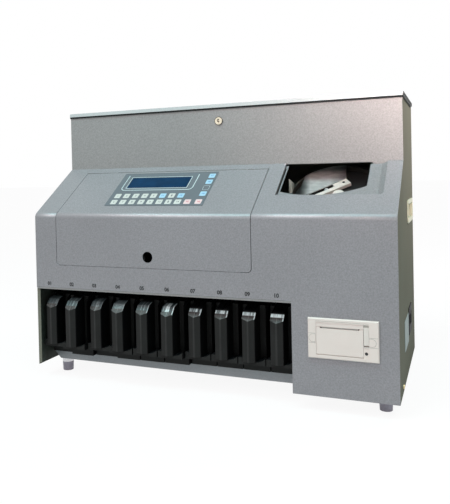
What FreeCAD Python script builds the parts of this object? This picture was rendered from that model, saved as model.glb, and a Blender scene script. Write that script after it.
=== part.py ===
import FreeCAD, Part
import math
import os
import re
from types import SimpleNamespace

import Sketcher

# Driving sizes of the coin sorting machine, in millimetres and degrees.
DIMENSIONS = {
    # Cabinet: width, depth, levels above the floor, and the bent front.
    "casing_width": 672,
    "casing_depth": 350,
    "casing_bottom": 25,
    "tower_top": 515,
    "front_corner": 317,
    "slope_run": 132,
    "slope_rise": 87.5,
    "bend_radius": 12,
    "sheet_gauge": 1.5,
    "rim_flange": 14,
    # Bay for the coin boxes beside the printer column, and the base tray under it.
    "column_width": 168,
    "bay_top": 175.5,
    "bay_lip": 12,
    "side_return": 5.5,
    "tray_top": 41.5,
    "tray_setback": 49,
    "tray_corner_cut": 16.5,
    # Feet.
    "foot_inset": 26,
    "foot_left_setback": 62.4,
    "foot_right_setback": 46,
    "foot_rear_inset": 50,
    "foot_top_radius": 11.5,
    "foot_bottom_radius": 10.2,
    # Coin boxes: gaps, outside sizes, moulded grip and recess, and how far each stands out at rest.
    "box_count": 10,
    "box_gap": 2,
    "row_clearance": 0.3,
    "box_lift": 0.5,
    "bin_height": 120,
    "bin_length": 245,
    "box_wall": 1.8,
    "grip_setback": 9,
    "grip_depth": 36,
    "grip_inset": 8,
    "grip_width": 23,
    "grip_prow": 3.6,
    "grip_nose": 6,
    "grip_edge": 2,
    "grip_bottom": 23,
    "grip_shoulder": 93.5,
    "grip_facet_run": 14,
    "grip_facet_rise": 15.5,
    "grip_roof_run": 38,
    "shelf_front": 6,
    "shelf_bottom": 18,
    "shelf_top": 23.5,
    "scoop_rise": 6.5,
    "flank_front": 16,
    "flank_width": 7,
    "pull_01": 4,
    "pull_02": 14,
    "pull_03": 5,
    "pull_04": 11,
    "pull_05": 10,
    "pull_06": 9,
    "pull_07": 0,
    "pull_08": 0,
    "pull_09": 0,
    "pull_10": 0,
    "guide_gauge": 1.2,
    "guide_height": 14,
    # Front door with its finger hole and goose-neck hinges.
    "door_left": 47.7,
    "door_gap": 29.6,
    "door_bottom": 220,
    "door_reach": 142,
    "door_seam": 0.9,
    "door_corner": 7,
    "door_stop_height": 16,
    "door_stop_inset": 21,
    "finger_hole_radius": 10,
    "finger_hole_height": 240.8,
    "door_hinge_spread": 140,
    "door_hinge_offset": 9,
    "door_hinge_drop": 6,
    "arm_width": 12,
    "arm_gauge": 4,
    "arm_neck": 14,
    "arm_reach": 18,
    "arm_foot": 22,
    "ear_gauge": 3,
    "side_clearance": 0.3,
    "hinge_pin_radius": 2,
    "running_clearance": 0.05,
    # Keypad overlay and display on the door.
    "overlay_left": 142,
    "overlay_width": 200,
    "overlay_low": 28,
    "overlay_high": 135,
    "overlay_gauge": 0.6,
    "overlay_corner": 1.5,
    "screen_left": 165,
    "screen_width": 126,
    "screen_low": 85.5,
    "screen_high": 120,
    "screen_clearance": 0.4,
    "module_margin": 7,
    "module_depth": 8,
    "board_gauge": 1.6,
    # Disc window: recess in the slope and the opening in its floor.
    "recess_margin": 25.2,
    "recess_width": 179.5,
    "recess_low": 58,
    "recess_depth": 2.5,
    "recess_corner": 8,
    "guard_gauge": 1.2,
    "guard_margin": 8,
    "guard_left_bar": 4.7,
    "guard_slot": 2.4,
    "guard_opening_width": 145.8,
    "guard_arc_radius": 165,
    "guard_arc_low": 62.5,
    "guard_arc_offset": 59,
    # Printer in the front column.
    "printer_offset": -1,
    "printer_height": 120.5,
    "bezel_width": 111,
    "bezel_height": 65,
    "bezel_proud": 4,
    "bezel_bevel": 1.4,
    "collar_inset": 4,
    "collar_depth": 6,
    "field_left": 13.1,
    "field_right": 95.8,
    "field_low": 6.2,
    "field_high": 58.5,
    "paper_line": 51.3,
    "lever_left": 87.3,
    "lever_low": 25.4,
    "lever_gap": 4,
    "printer_depth": 52,
    "printer_wall": 2,
    "printer_gap": 0.3,
    "field_sink": 0.8,
    "printer_door_gauge": 3,
    "paper_notch": 2.2,
    "paper_notch_inset": 5,
    "printer_pin_radius": 0.9,
    "platen_radius": 4,
    "platen_shaft_radius": 1.2,
    "platen_depth": 7,
    "platen_drop": 8.5,
    "cheek_gauge": 1.5,
    "lever_thickness": 3,
    "button_radius": 1.7,
    "button_height": 13.5,
    # Side handles and power inlet.
    "handle_front": 195,
    "handle_length": 120,
    "handle_low": 290,
    "handle_height": 43,
    "handle_flange": 6,
    "handle_proud": 2.5,
    "handle_depth": 24,
    "handle_wall": 2,
    "handle_corner": 9,
    "inlet_front": 190,
    "inlet_length": 60,
    "inlet_low": 88,
    "inlet_height": 49,
    "inlet_flange": 2,
    "inlet_proud": 1.5,
    "inlet_depth": 32,
    "socket_inset": 6,
    "socket_length": 27,
    "socket_height": 20,
    "socket_depth": 18,
    "rocker_inset": 40,
    "rocker_length": 14,
    "rocker_height": 24,
    "rocker_gap": 0.4,
    "rocker_pin_radius": 1.2,
    # Lid, its rear hinges and its cam lock.
    "lid_height": 7.5,
    "lid_gap": 0.8,
    "lid_overhang": 2,
    "lid_corner": 3,
    "knuckle_radius": 3,
    "lid_pin_radius": 1.2,
    "leaf_gauge": 1,
    "leaf_height": 22,
    "hinge_length": 80,
    "hinge_spread": 200,
    "lock_drop": 25,
    "lock_flange_radius": 8,
    "lock_flange": 2,
    "lock_barrel_radius": 7,
    "lock_barrel_length": 17,
    "lock_plug_radius": 5,
    "lock_nut": 4,
    "lock_nut_radius": 10,
    "cam_gauge": 2.5,
    "cam_width": 9,
    "cam_length": 20,
    "catch_offset": 16,
    "catch_gauge": 2,
    "catch_setback": 19.5,
    "catch_depth": 8,
    "catch_clearance": 2.2,
    # Mechanism deck, dividers and the sorting plate parallel to the slope.
    "deck_height": 200,
    "divider_front": 62,
    "divider_rear": 128,
    "divider_bottom": 165,
    "divider_gauge": 1.2,
    "plate_level": 45,
    "plate_gauge": 6,
    "plate_left": 6,
    "plate_gap": 1,
    "plate_low": 28,
    "plate_high": 108,
    "rail_low": 34,
    "rail_line": 40,
    "rail_height": 4,
    "drop_small": 17,
    "drop_step": 1.3,
    "drop_width": 36,
    # Transport belt over the sorting plate.
    "coin_gap": 2.2,
    "belt_gauge": 1.5,
    "belt_gap": 0.3,
    "transport_low": 46,
    "transport_width": 20,
    "transport_radius": 11,
    "transport_left_inset": 30,
    "transport_right_inset": 33,
    "transport_shaft_radius": 3,
    "transport_shaft_end": 1.5,
    "frame_low": 70,
    "frame_gauge": 3,
    "frame_height": 27,
    "frame_overhang": 14.5,
    "motor_radius": 14.5,
    "motor_length": 42,
    # Sorting disc, its ring, spindle and drive under the window.
    "disc_margin": 108,
    "disc_along": 112,
    "disc_radius": 83,
    "disc_gauge": 4,
    "disc_clearance": 2.2,
    "ring_clearance": 1,
    "ring_wall": 4,
    "ring_top": 36,
    "ring_base": 3,
    "hub_radius": 10.5,
    "hub_height": 11,
    "spindle_radius": 5,
    "boss_radius": 12,
    "boss_length": 14,
    "bracket_width": 48,
    "drive_level": 122,
    "drive_pulley_radius": 16,
    "drive_pulley_width": 10,
    "pulley_rim": 3,
    "pulley_flange": 1.5,
    "drive_spacing": 75,
    "disc_motor_radius": 22,
    "disc_motor_length": 52,
    "motor_mount": 12,
    "motor_shaft_radius": 4,
    "exit_low": 38,
    "exit_width": 34,
    "bar_thickness": 6,
    "bar_width": 20,
    "bar_left_aside": -61,
    "bar_left_ahead": -30,
    "bar_right_aside": 18,
    "bar_right_ahead": 32.5,
    "bar_slot_front": 8.5,
    "bar_slot_width": 7.5,
    "bar_slot_right": 28,
    "bar_slot_left": 10,
    "bar_hole_radius": 2.6,
    "bar_hole_inset": 9,
    "hood_gauge": 1.5,
    "hood_lap": 3.5,
    "hood_rear_angle": 88,
    "hood_left_angle": 141,
    # Hopper bin and feed belt in the tower.
    "bin_margin": 164,
    "bin_setback": 30,
    "bin_gauge": 1.2,
    "throat_left": 36,
    "throat_margin": 186,
    "throat_front": 185,
    "throat_rear_margin": 45,
    "throat_level": 442,
    "feed_level": 424,
    "feed_radius": 12,
    "feed_inset": 12,
    "feed_belt_inset": 2.2,
    "feed_shaft_radius": 4,
    "cheek_bottom": 406,
    "cheek_reach": 8,
    "apron_rear_level": 436,
    "apron_front": 188,
    "apron_front_level": 404,
    "apron_margin": 36,
    "apron_lap": 4,
    # Electronics.
    "board_left": 90,
    "board_width": 160,
    "board_low": 230,
    "board_height": 100,
    "standoff": 8,
    "standoff_radius": 3,
    "supply_margin": 22,
    "supply_front": 130,
    "supply_length": 170,
    "supply_height": 40,
    "vent_left": 90,
    "vent_margin": 111,
    "vent_low": 230,
    "vent_width": 70,
    "vent_height": 4,
    "vent_pitch": 12,
    "vent_count": 8,
}

doc = FreeCAD.newDocument("coin_sorting_machine")
sheet = doc.addObject("Spreadsheet::Sheet", "dims")
for row, (word, size) in enumerate(DIMENSIONS.items(), 1):
    sheet.set(f"A{row}", word)
    sheet.set(f"B{row}", str(size))
    sheet.setAlias(f"B{row}", word)
doc.recompute()
d = SimpleNamespace(**{word: float(sheet.get(word)) for word in DIMENSIONS})
V = FreeCAD.Vector
SUB_PARTS = []

# Places that several pieces share, as expressions in the sizes above. Pieces are drawn with x from the
# middle of the casing, y back from the front face and z up from the floor.
HALF = "(casing_width / 2)"
INNER = "(casing_width / 2 - sheet_gauge)"
STEEPNESS = "(slope_rise / slope_run)"
SLANT = "sqrt(1 + (slope_rise / slope_run) ^ 2)"
UNDER_SLOPE_TOP = f"(front_corner + slope_rise - sheet_gauge * {SLANT})"
BAY_RIGHT = f"({HALF} - column_width)"
ROW_LEFT = f"(sheet_gauge + side_return + row_clearance - {HALF})"
BOX_PITCH = f"(({BAY_RIGHT} - row_clearance + box_gap - {ROW_LEFT}) / box_count)"
BOX_WIDTH = f"({BOX_PITCH} - box_gap)"
RECESS_RIGHT = f"({HALF} - recess_margin)"
RECESS_LEFT = f"({RECESS_RIGHT} - recess_width)"
DOOR_LEFT = f"(door_left - {HALF})"
DOOR_RIGHT = f"({RECESS_LEFT} - door_gap)"
DOOR_MIDDLE = f"(({DOOR_LEFT} + {DOOR_RIGHT}) / 2)"
PRINTER_MIDDLE = f"({HALF} - column_width / 2 + printer_offset)"
REAR_REACH = "(2 * knuckle_radius)"
NOSE_LOSS = "(grip_nose * (sqrt(1 + (2 * grip_prow / grip_width) ^ 2) - 1))"
FRONT_REACH = f"(pull_02 - grip_setback - {NOSE_LOSS})"
FRONT_FACE = f"(({FRONT_REACH} - {REAR_REACH} - casing_depth) / 2)"
SLOPE_ANGLE = "atan2(slope_rise; slope_run)"
slope_angle = math.atan2(d.slope_rise, d.slope_run)
half_width = d.casing_width / 2


def bound(text):
    """The expression with each size's name pointing at its cell."""
    return re.sub(r"[a-z]\w+", lambda m: f"dims.{m[0]}" if m[0] in DIMENSIONS else m[0], str(text))


def bind(thing, prop, text):
    thing.setExpression(prop, bound(text))


def along_slope(distance):
    """Depth and height of a point on the slope's outer face, as expressions."""
    return (f"(({distance}) / {SLANT})", f"(front_corner + ({distance}) / {SLANT} * {STEEPNESS})")


def stand(piece):
    """Carries a piece drawn in the casing's frame to the part's origin."""
    bind(piece, "Placement.Base.y", FRONT_FACE)
    return piece


def lean(piece):
    """Carries a piece drawn flat, with y up the slope and z out of it, onto the slope."""
    piece.Placement = FreeCAD.Placement(V(), FreeCAD.Rotation(V(1, 0, 0), math.degrees(slope_angle)))
    bind(piece, "Placement.Base.y", FRONT_FACE)
    bind(piece, "Placement.Base.z", "front_corner")
    bind(piece, "Placement.Rotation.Angle", SLOPE_ANGLE)
    return piece


def keep(piece, label):
    piece.Label = label
    SUB_PARTS.append(piece)
    return piece


def new_body(label):
    return keep(doc.addObject("PartDesign::Body", label), label)


def fix(sketch, kind, geometry, point, text):
    """Holds one coordinate of a sketch point at an expression."""
    index = sketch.addConstraint(Sketcher.Constraint(kind, -1, 1, geometry, point, 1.0))
    bind(sketch, f"Constraints[{index}]", text)


STARTING_RADIUS = 10


def draw(body, plane, *loops, level="0"):
    """A sketch on one of the body's planes: each loop is a list of corners or a circle (x, y, radius)."""
    sketch = body.newObject("Sketcher::SketchObject", body.Label + "_sketch")
    planes = {feature.Role: feature for feature in body.Origin.OriginFeatures}
    sketch.AttachmentSupport = [(planes[plane], "")]
    sketch.MapMode = "FlatFace"
    bind(sketch, "AttachmentOffset.Base.z", level)
    for loop in loops:
        first = sketch.GeometryCount
        if isinstance(loop, tuple):
            aside, up, radius = loop
            sketch.addGeometry(Part.Circle(V(), V(0, 0, 1), 1), False)
            fix(sketch, "DistanceX", first, 3, aside)
            fix(sketch, "DistanceY", first, 3, up)
            size = sketch.addConstraint(Sketcher.Constraint("Radius", first, 1.0))
            bind(sketch, f"Constraints[{size}]", radius)
            continue
        count = len(loop)
        turns = [2 * math.pi * i / count for i in range(count)]
        ring = [V(math.cos(turn), math.sin(turn), 0) * STARTING_RADIUS for turn in turns]
        for i in range(count):
            sketch.addGeometry(Part.LineSegment(ring[i], ring[(i + 1) % count]), False)
        for i, (aside, up) in enumerate(loop):
            sketch.addConstraint(Sketcher.Constraint("Coincident", first + i, 2, first + (i + 1) % count, 1))
            fix(sketch, "DistanceX", first + i, 1, aside)
            fix(sketch, "DistanceY", first + i, 1, up)
    return sketch


def draw_on_slope(body, *loops):
    """A sketch on the slope's outer face, for a body drawn in the casing's frame."""
    sketch = draw(body, "XY_Plane", *loops, level="front_corner")
    sketch.AttachmentOffset = FreeCAD.Placement(V(), FreeCAD.Rotation(V(1, 0, 0), math.degrees(slope_angle)))
    bind(sketch, "AttachmentOffset.Base.z", "front_corner")
    bind(sketch, "AttachmentOffset.Rotation.Angle", SLOPE_ANGLE)
    return sketch


def rectangle(left, right, low, high):
    return [(left, low), (right, low), (right, high), (left, high)]


def feature(body, kind, sketch, length, both=False, backwards=False):
    """A pad or pocket of a sketch; both spreads it about the sketch, backwards turns it round."""
    made = body.newObject(f"PartDesign::{kind}", f"{body.Label}_{kind.lower()}")
    made.Profile = sketch
    made.SideType = "Symmetric" if both else "One side"
    made.Reversed = backwards
    bind(made, "Length", length)
    return made


def pad(body, *args, **more):
    return feature(body, "Pad", *args, **more)


def pocket(body, *args, **more):
    return feature(body, "Pocket", *args, **more)


def edges_of(shape, wanted):
    return [f"Edge{i}" for i, edge in enumerate(shape.Edges, 1) if wanted(edge)]


def dress(body, kind, size, wanted):
    """Rounds or bevels the edges of a body that the test picks out."""
    doc.recompute()
    base = body.Tip
    made = body.newObject(f"PartDesign::{kind}", f"{body.Label}_{kind.lower()}")
    made.Base = (base, edges_of(base.Shape, wanted))
    bind(made, "Radius" if kind == "Fillet" else "Size", size)
    return made


def straight_along(edge, axis):
    """Whether an edge is a straight line along one axis."""
    if edge.Curve.TypeId != "Part::GeomLine":
        return False
    return abs(abs(getattr(edge.Curve.Direction, axis)) - 1) < 1e-6


def passes(edge, tolerance=0.05, **place):
    """Whether an edge's middle lies at the given coordinates."""
    middle = edge.CenterOfMass
    return all(abs(getattr(middle, axis) - value) < tolerance for axis, value in place.items())


def repeat(body, original, axis, length, count):
    pattern = body.newObject("PartDesign::LinearPattern", body.Label + "_pattern")
    pattern.Originals = [original]
    axes = {item.Role: item for item in body.Origin.OriginFeatures}
    pattern.Direction = (axes[axis], [""])
    bind(pattern, "Length", length)
    bind(pattern, "Occurrences", count)
    body.Tip = pattern
    return pattern


def block(x, y, z):
    """A box between a low and a high expression on each axis."""
    box = doc.addObject("Part::Box", "block")
    for side, axis, (low, high) in zip(("Length", "Width", "Height"), "xyz", (x, y, z)):
        bind(box, side, f"({high}) - ({low})")
        bind(box, f"Placement.Base.{axis}", low)
    return box


AXIS_TURNS = {"x": (V(0, 1, 0), 90), "y": (V(1, 0, 0), -90), "z": (V(0, 0, 1), 0)}


def rod(axis, centre, radius, low, high):
    """A cylinder along an axis; centre gives the other two coordinates in x, y, z order."""
    cylinder = doc.addObject("Part::Cylinder", "rod")
    cylinder.Placement = FreeCAD.Placement(V(), FreeCAD.Rotation(*AXIS_TURNS[axis]))
    bind(cylinder, "Radius", radius)
    bind(cylinder, "Height", f"({high}) - ({low})")
    bind(cylinder, f"Placement.Base.{axis}", low)
    for other, place in zip("xyz".replace(axis, ""), centre):
        bind(cylinder, f"Placement.Base.{other}", place)
    return cylinder


def fuse(*pieces):
    joined = doc.addObject("Part::MultiFuse", "joined")
    joined.Shapes = list(pieces)
    joined.Refine = True
    return joined


def cut(base, *tools):
    left = doc.addObject("Part::Cut", "left")
    left.Base = base
    left.Tool = tools[0] if len(tools) == 1 else fuse(*tools)
    left.Refine = True
    return left


def common(*pieces):
    shared = doc.addObject("Part::MultiCommon", "shared")
    shared.Shapes = list(pieces)
    return shared


def group(*pieces):
    set_of = doc.addObject("Part::Compound", "set_of")
    set_of.Links = list(pieces)
    return set_of


def loop_belt(run_axis, axle_axis, ends, level, radius, gauge, low, high):
    """A flat belt round two equal pulleys, as a closed band of one gauge."""
    def stadium(reach):
        rise = (f"{level} - ({reach})", f"{level} + ({reach})")
        sides = {run_axis: ends, axle_axis: (low, high)}
        spare = "xyz".replace(run_axis, "").replace(axle_axis, "")
        sides[spare] = rise
        flat = block(sides["x"], sides["y"], sides["z"])
        places = [{run_axis: end, spare: level} for end in ends]
        centres = [[place[a] for a in "xyz" if a in place] for place in places]
        rounds = [rod(axle_axis, centre, reach, low, high) for centre in centres]
        return fuse(flat, *rounds)
    return cut(stadium(f"{radius} + {gauge}"), stadium(radius))


REAR_INNER = "(casing_depth - sheet_gauge)"
TOWER_FRONT = "(slope_run + sheet_gauge)"


def across(place):
    """A place measured from the casing's left end, as x from its middle."""
    return f"(({place}) - {HALF})"


def box_middle(number):
    """Middle of a coin box across the row."""
    return f"({ROW_LEFT} + {BOX_PITCH} * ({number} - 1) + {BOX_WIDTH} / 2)"


def gap_middle(number):
    """Middle of the gap after a coin box."""
    return f"({ROW_LEFT} + {BOX_PITCH} * {number} - box_gap / 2)"


def under_slope(depth, below="sheet_gauge"):
    """Height of a plane parallel to the slope, a given distance under it, at a depth from the front."""
    return f"(front_corner + ({depth}) * {STEEPNESS} - ({below}) * {SLANT})"


bend_inner_height = d.front_corner + d.sheet_gauge * (math.tan(slope_angle) - 1 / math.cos(slope_angle))


def round_bend(body):
    """Rounds the bend between front and slope, outside and inside the sheet."""
    dress(body, "Fillet", "bend_radius",
          lambda edge: straight_along(edge, "x") and passes(edge, y=0, z=d.front_corner))
    dress(body, "Fillet", "bend_radius - sheet_gauge",
          lambda edge: straight_along(edge, "x") and passes(edge, y=d.sheet_gauge, z=bend_inner_height))


def base_tray():
    """Inverted sheet tray that the boxes stand on, with a cut front lip."""
    body = stand(new_body("base_tray"))
    plan = [
        (f"-{INNER}", "tray_setback"),
        (BAY_RIGHT, "tray_setback"),
        (BAY_RIGHT, "sheet_gauge"),
        (INNER, "sheet_gauge"),
        (INNER, REAR_INNER),
        (f"-{INNER}", REAR_INNER),
    ]
    pad(body, draw(body, "XY_Plane", plan, level="tray_top - sheet_gauge"), "sheet_gauge")
    lip = [
        (f"-{INNER}", "tray_top"),
        (f"-{INNER} + tray_corner_cut", "casing_bottom"),
        (BAY_RIGHT, "casing_bottom"),
        (BAY_RIGHT, "tray_top"),
    ]
    pad(body, draw(body, "XZ_Plane", lip, level="-tray_setback"), "sheet_gauge", backwards=True)
    hem = rectangle(f"-{INNER}", INNER, "casing_bottom", "tray_top")
    pad(body, draw(body, "XZ_Plane", hem, level=f"-{REAR_INNER}"), "sheet_gauge")


def side_panel(label, side):
    """Side sheet with the whole profile, a rim flange, a handle opening and its own extras."""
    body = stand(new_body(label))
    profile = [
        ("sheet_gauge", "casing_bottom"),
        (REAR_INNER, "casing_bottom"),
        (REAR_INNER, "tower_top"),
        (TOWER_FRONT, "tower_top"),
        (TOWER_FRONT, UNDER_SLOPE_TOP),
        ("slope_run", UNDER_SLOPE_TOP),
        ("sheet_gauge", under_slope("sheet_gauge")),
    ]
    outer, inner = (f"-{HALF}", f"-{INNER}") if side < 0 else (HALF, INNER)
    pad(body, draw(body, "YZ_Plane", profile, level=outer), "sheet_gauge", backwards=side > 0)
    dress(body, "Fillet", "bend_radius - sheet_gauge",
          lambda edge: straight_along(edge, "x") and passes(edge, y=d.sheet_gauge, z=bend_inner_height))
    rim = rectangle(inner, f"{inner} - ({side}) * rim_flange",
                    f"{TOWER_FRONT} + rim_flange", f"{REAR_INNER} - rim_flange")
    pad(body, draw(body, "XY_Plane", rim, level="tower_top - sheet_gauge"), "sheet_gauge")
    grip = rectangle("handle_front + handle_flange - side_clearance",
                     "handle_front + handle_length - handle_flange + side_clearance",
                     "handle_low + handle_flange - side_clearance",
                     "handle_low + handle_height - handle_flange + side_clearance")
    inlet = rectangle("inlet_front + inlet_flange - side_clearance",
                      "inlet_front + inlet_length - inlet_flange + side_clearance",
                      "inlet_low + inlet_flange - side_clearance",
                      "inlet_low + inlet_height - inlet_flange + side_clearance")
    openings = [grip] if side < 0 else [grip, inlet]
    pocket(body, draw(body, "YZ_Plane", *openings, level=outer), "sheet_gauge", backwards=side < 0)
    if side < 0:
        turned = [
            (inner, "casing_bottom"),
            (f"{inner} + side_return", "casing_bottom + side_return"),
            (f"{inner} + side_return", "bay_top"),
            (inner, "bay_top"),
        ]
        pad(body, draw(body, "XZ_Plane", turned, level="-sheet_gauge"), "sheet_gauge", backwards=True)


def rear_panel():
    """Flat back sheet with two columns of vents and a rim flange."""
    body = stand(new_body("rear_panel"))
    face = rectangle(f"-{HALF}", HALF, "casing_bottom", "tower_top")
    pad(body, draw(body, "XZ_Plane", face, level=f"-{REAR_INNER}"), "sheet_gauge", backwards=True)
    rim = rectangle(f"-{INNER}", INNER, f"{REAR_INNER} - rim_flange", REAR_INNER)
    pad(body, draw(body, "XY_Plane", rim, level="tower_top - sheet_gauge"), "sheet_gauge")
    slots = [rectangle(f"{centre} - vent_width / 2", f"{centre} + vent_width / 2",
                       "vent_low", "vent_low + vent_height")
             for centre in (across("vent_left"), f"({HALF} - vent_margin)")]
    vent = pocket(body, draw(body, "XZ_Plane", *slots, level=f"-{REAR_INNER}"), "sheet_gauge")
    repeat(body, vent, "Z_Axis", "vent_pitch * (vent_count - 1)", "vent_count")


def hopper_front_panel():
    """Front wall of the tower, with a rim flange and the lock's hole."""
    body = stand(new_body("hopper_front_panel"))
    face = rectangle(f"-{HALF}", HALF, UNDER_SLOPE_TOP, "tower_top")
    pad(body, draw(body, "XZ_Plane", face, level="-slope_run"), "sheet_gauge", backwards=True)
    rim = rectangle(f"-{INNER}", INNER, TOWER_FRONT, f"{TOWER_FRONT} + rim_flange")
    pad(body, draw(body, "XY_Plane", rim, level="tower_top - sheet_gauge"), "sheet_gauge")
    hole = ("0", "tower_top - lock_drop", "lock_barrel_radius + running_clearance")
    pocket(body, draw(body, "XZ_Plane", hole, level="-slope_run"), "sheet_gauge")


def front_cover():
    """One bent sheet: front and slope, open for the boxes, door, disc window and printer."""
    body = stand(new_body("front_cover"))
    profile = [
        ("0", "casing_bottom"),
        ("0", "front_corner"),
        ("slope_run", "front_corner + slope_rise"),
        ("slope_run", UNDER_SLOPE_TOP),
        ("sheet_gauge", under_slope("sheet_gauge")),
        ("sheet_gauge", "casing_bottom"),
    ]
    pad(body, draw(body, "YZ_Plane", profile), "casing_width", both=True)
    round_bend(body)
    bay = rectangle(f"-{HALF}", BAY_RIGHT, "casing_bottom", "bay_top")
    door = rectangle(DOOR_LEFT, DOOR_RIGHT, "door_bottom", along_slope("door_reach")[1])
    printer = rectangle(printer_x("collar_inset - side_clearance"),
                        printer_x("bezel_width - collar_inset + side_clearance"),
                        printer_z("collar_inset - side_clearance"),
                        printer_z("bezel_height - collar_inset + side_clearance"))
    pocket(body, draw(body, "XZ_Plane", bay, door, printer), "slope_run")
    window = rectangle(RECESS_LEFT, RECESS_RIGHT, "recess_low", f"slope_run * {SLANT}")
    pocket(body, draw_on_slope(body, window), "2 * sheet_gauge")
    window_right = half_width - d.recess_margin
    door_sides = (d.door_left - half_width, window_right - d.recess_width - d.door_gap)
    dress(body, "Fillet", "door_corner + door_seam",
          lambda edge: straight_along(edge, "y")
          and any(passes(edge, x=x, z=d.door_bottom) for x in door_sides))
    dress(body, "Fillet", "recess_corner",
          lambda edge: passes(edge, x=window_right) and edge.Length < 2 * d.sheet_gauge
          and edge.CenterOfMass.y < d.slope_run / 2)
    top_lip = rectangle(f"-{INNER}", f"{BAY_RIGHT} + sheet_gauge", "bay_top", "bay_top + sheet_gauge")
    pad(body, draw(body, "XZ_Plane", top_lip, level="-sheet_gauge"), "bay_lip", backwards=True)
    side_lip = rectangle(BAY_RIGHT, f"{BAY_RIGHT} + sheet_gauge", "tray_top", "bay_top")
    pad(body, draw(body, "XZ_Plane", side_lip, level="-sheet_gauge"), "bay_lip", backwards=True)
    stop = rectangle(f"{DOOR_LEFT} + door_stop_inset", f"{DOOR_RIGHT} - door_stop_inset",
                     "door_bottom - door_stop_height / 2", "door_bottom + door_stop_height / 2")
    pad(body, draw(body, "XZ_Plane", stop, level="-sheet_gauge"), "sheet_gauge", backwards=True)


def printer_x(place):
    """A place measured from the bezel's left edge."""
    return f"({PRINTER_MIDDLE} - bezel_width / 2 + ({place}))"


def printer_z(place):
    """A height measured from the bezel's lower edge."""
    return f"(printer_height - bezel_height / 2 + ({place}))"


def feet():
    """Four tapered feet under the tray, the left front one behind the tray's lip."""
    made = []
    for side, setback in ((-1, "foot_left_setback"), (1, "foot_right_setback")):
        for depth in (setback, "casing_depth - foot_rear_inset"):
            centre = (f"({side}) * ({HALF} - foot_inset)", depth)
            cone = doc.addObject("Part::Cone", "foot")
            bind(cone, "Radius1", "foot_bottom_radius")
            bind(cone, "Radius2", "foot_top_radius")
            bind(cone, "Height", "casing_bottom")
            bind(cone, "Placement.Base.x", centre[0])
            bind(cone, "Placement.Base.y", centre[1])
            neck = rod("z", centre, "foot_top_radius", "casing_bottom", "tray_top - sheet_gauge")
            made.append(fuse(cone, neck))
    keep(stand(group(*made)), "feet")


def side_handle(side):
    """Moulded cup handle with a proud rim, let into a side panel."""
    body = doc.addObject("PartDesign::Body", "side_handle")
    sign = "-" if side < 0 else ""
    wall, rim = f"{sign}{HALF}", f"{sign}({HALF} + handle_proud)"

    def frame(inset):
        return rectangle(f"handle_front + {inset}", f"handle_front + handle_length - {inset}",
                         f"handle_low + {inset}", f"handle_low + handle_height - {inset}")
    pad(body, draw(body, "YZ_Plane", frame("0"), level=wall), "handle_proud", backwards=side < 0)
    dress(body, "Fillet", "handle_corner", lambda edge: straight_along(edge, "x"))
    pad(body, draw(body, "YZ_Plane", frame("handle_flange"), level=wall), "handle_depth", backwards=side > 0)
    hollow = draw(body, "YZ_Plane", frame("(handle_flange + handle_wall)"), level=rim)
    pocket(body, hollow, "handle_depth + handle_proud - handle_wall", backwards=side < 0)
    return body


def power_inlet():
    """Appliance inlet with three blades and a well for the rocker switch."""
    body = stand(new_body("power_inlet"))

    def frame(inset):
        return rectangle(f"inlet_front + {inset}", f"inlet_front + inlet_length - {inset}",
                         f"inlet_low + {inset}", f"inlet_low + inlet_height - {inset}")
    pad(body, draw(body, "YZ_Plane", frame("0"), level=HALF), "inlet_proud")
    pad(body, draw(body, "YZ_Plane", frame("inlet_flange"), level=HALF), "inlet_depth", backwards=True)
    middle = "(inlet_low + inlet_height / 2)"
    socket = rectangle("inlet_front + socket_inset", "inlet_front + socket_inset + socket_length",
                       f"{middle} - socket_height / 2", f"{middle} + socket_height / 2")
    face = f"{HALF} + inlet_proud"
    pocket(body, draw(body, "YZ_Plane", socket, level=face), "socket_depth")
    well = rectangle("inlet_front + rocker_inset - rocker_gap",
                     "inlet_front + rocker_inset + rocker_length + rocker_gap",
                     f"{middle} - rocker_height / 2 - rocker_gap",
                     f"{middle} + rocker_height / 2 + rocker_gap")
    pocket(body, draw(body, "YZ_Plane", well, level=face), "socket_depth")
    blade, reach = "socket_length / 12", "socket_height / 6"
    blades = []
    for step, lift in ((-1, -1), (0, 1), (1, -1)):
        centre = f"(inlet_front + socket_inset + socket_length * (1 / 2 + ({step}) / 4))"
        height = f"({middle} + ({lift}) * socket_height / 8)"
        blades.append(rectangle(f"{centre} - {blade} / 2", f"{centre} + {blade} / 2",
                                f"{height} - {reach}", f"{height} + {reach}"))
    pad(body, draw(body, "YZ_Plane", *blades, level=f"{face} - socket_depth"), "socket_depth * 0.8")


def power_rocker():
    """Rocker of the switch, drawn with its upper half out: the off position."""
    body = stand(new_body("power_rocker"))
    pivot_x, pivot_z = f"({HALF} - rocker_length / 4)", "(inlet_low + inlet_height / 2)"
    half = "rocker_height / 2"
    profile = [
        (f"{pivot_x} - rocker_length / 3", f"{pivot_z} - {half} * 0.62"),
        (f"{pivot_x} + rocker_length * 0.06", f"{pivot_z} - {half} * 0.94"),
        (f"{pivot_x} + rocker_length * 0.09", pivot_z),
        (f"{pivot_x} + rocker_length * 0.3", f"{pivot_z} + {half} * 0.9"),
        (f"{pivot_x} - rocker_length / 3", f"{pivot_z} + {half} * 0.62"),
    ]
    plane = draw(body, "XZ_Plane", profile, level="-(inlet_front + rocker_inset)")
    pad(body, plane, "rocker_length", backwards=True)
    pin_reach = "(rocker_gap - running_clearance)"
    pin = draw(body, "XZ_Plane", (pivot_x, pivot_z, "rocker_pin_radius"),
               level=f"-(inlet_front + rocker_inset - {pin_reach})")
    pad(body, pin, f"rocker_length + 2 * {pin_reach}", backwards=True)


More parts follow.
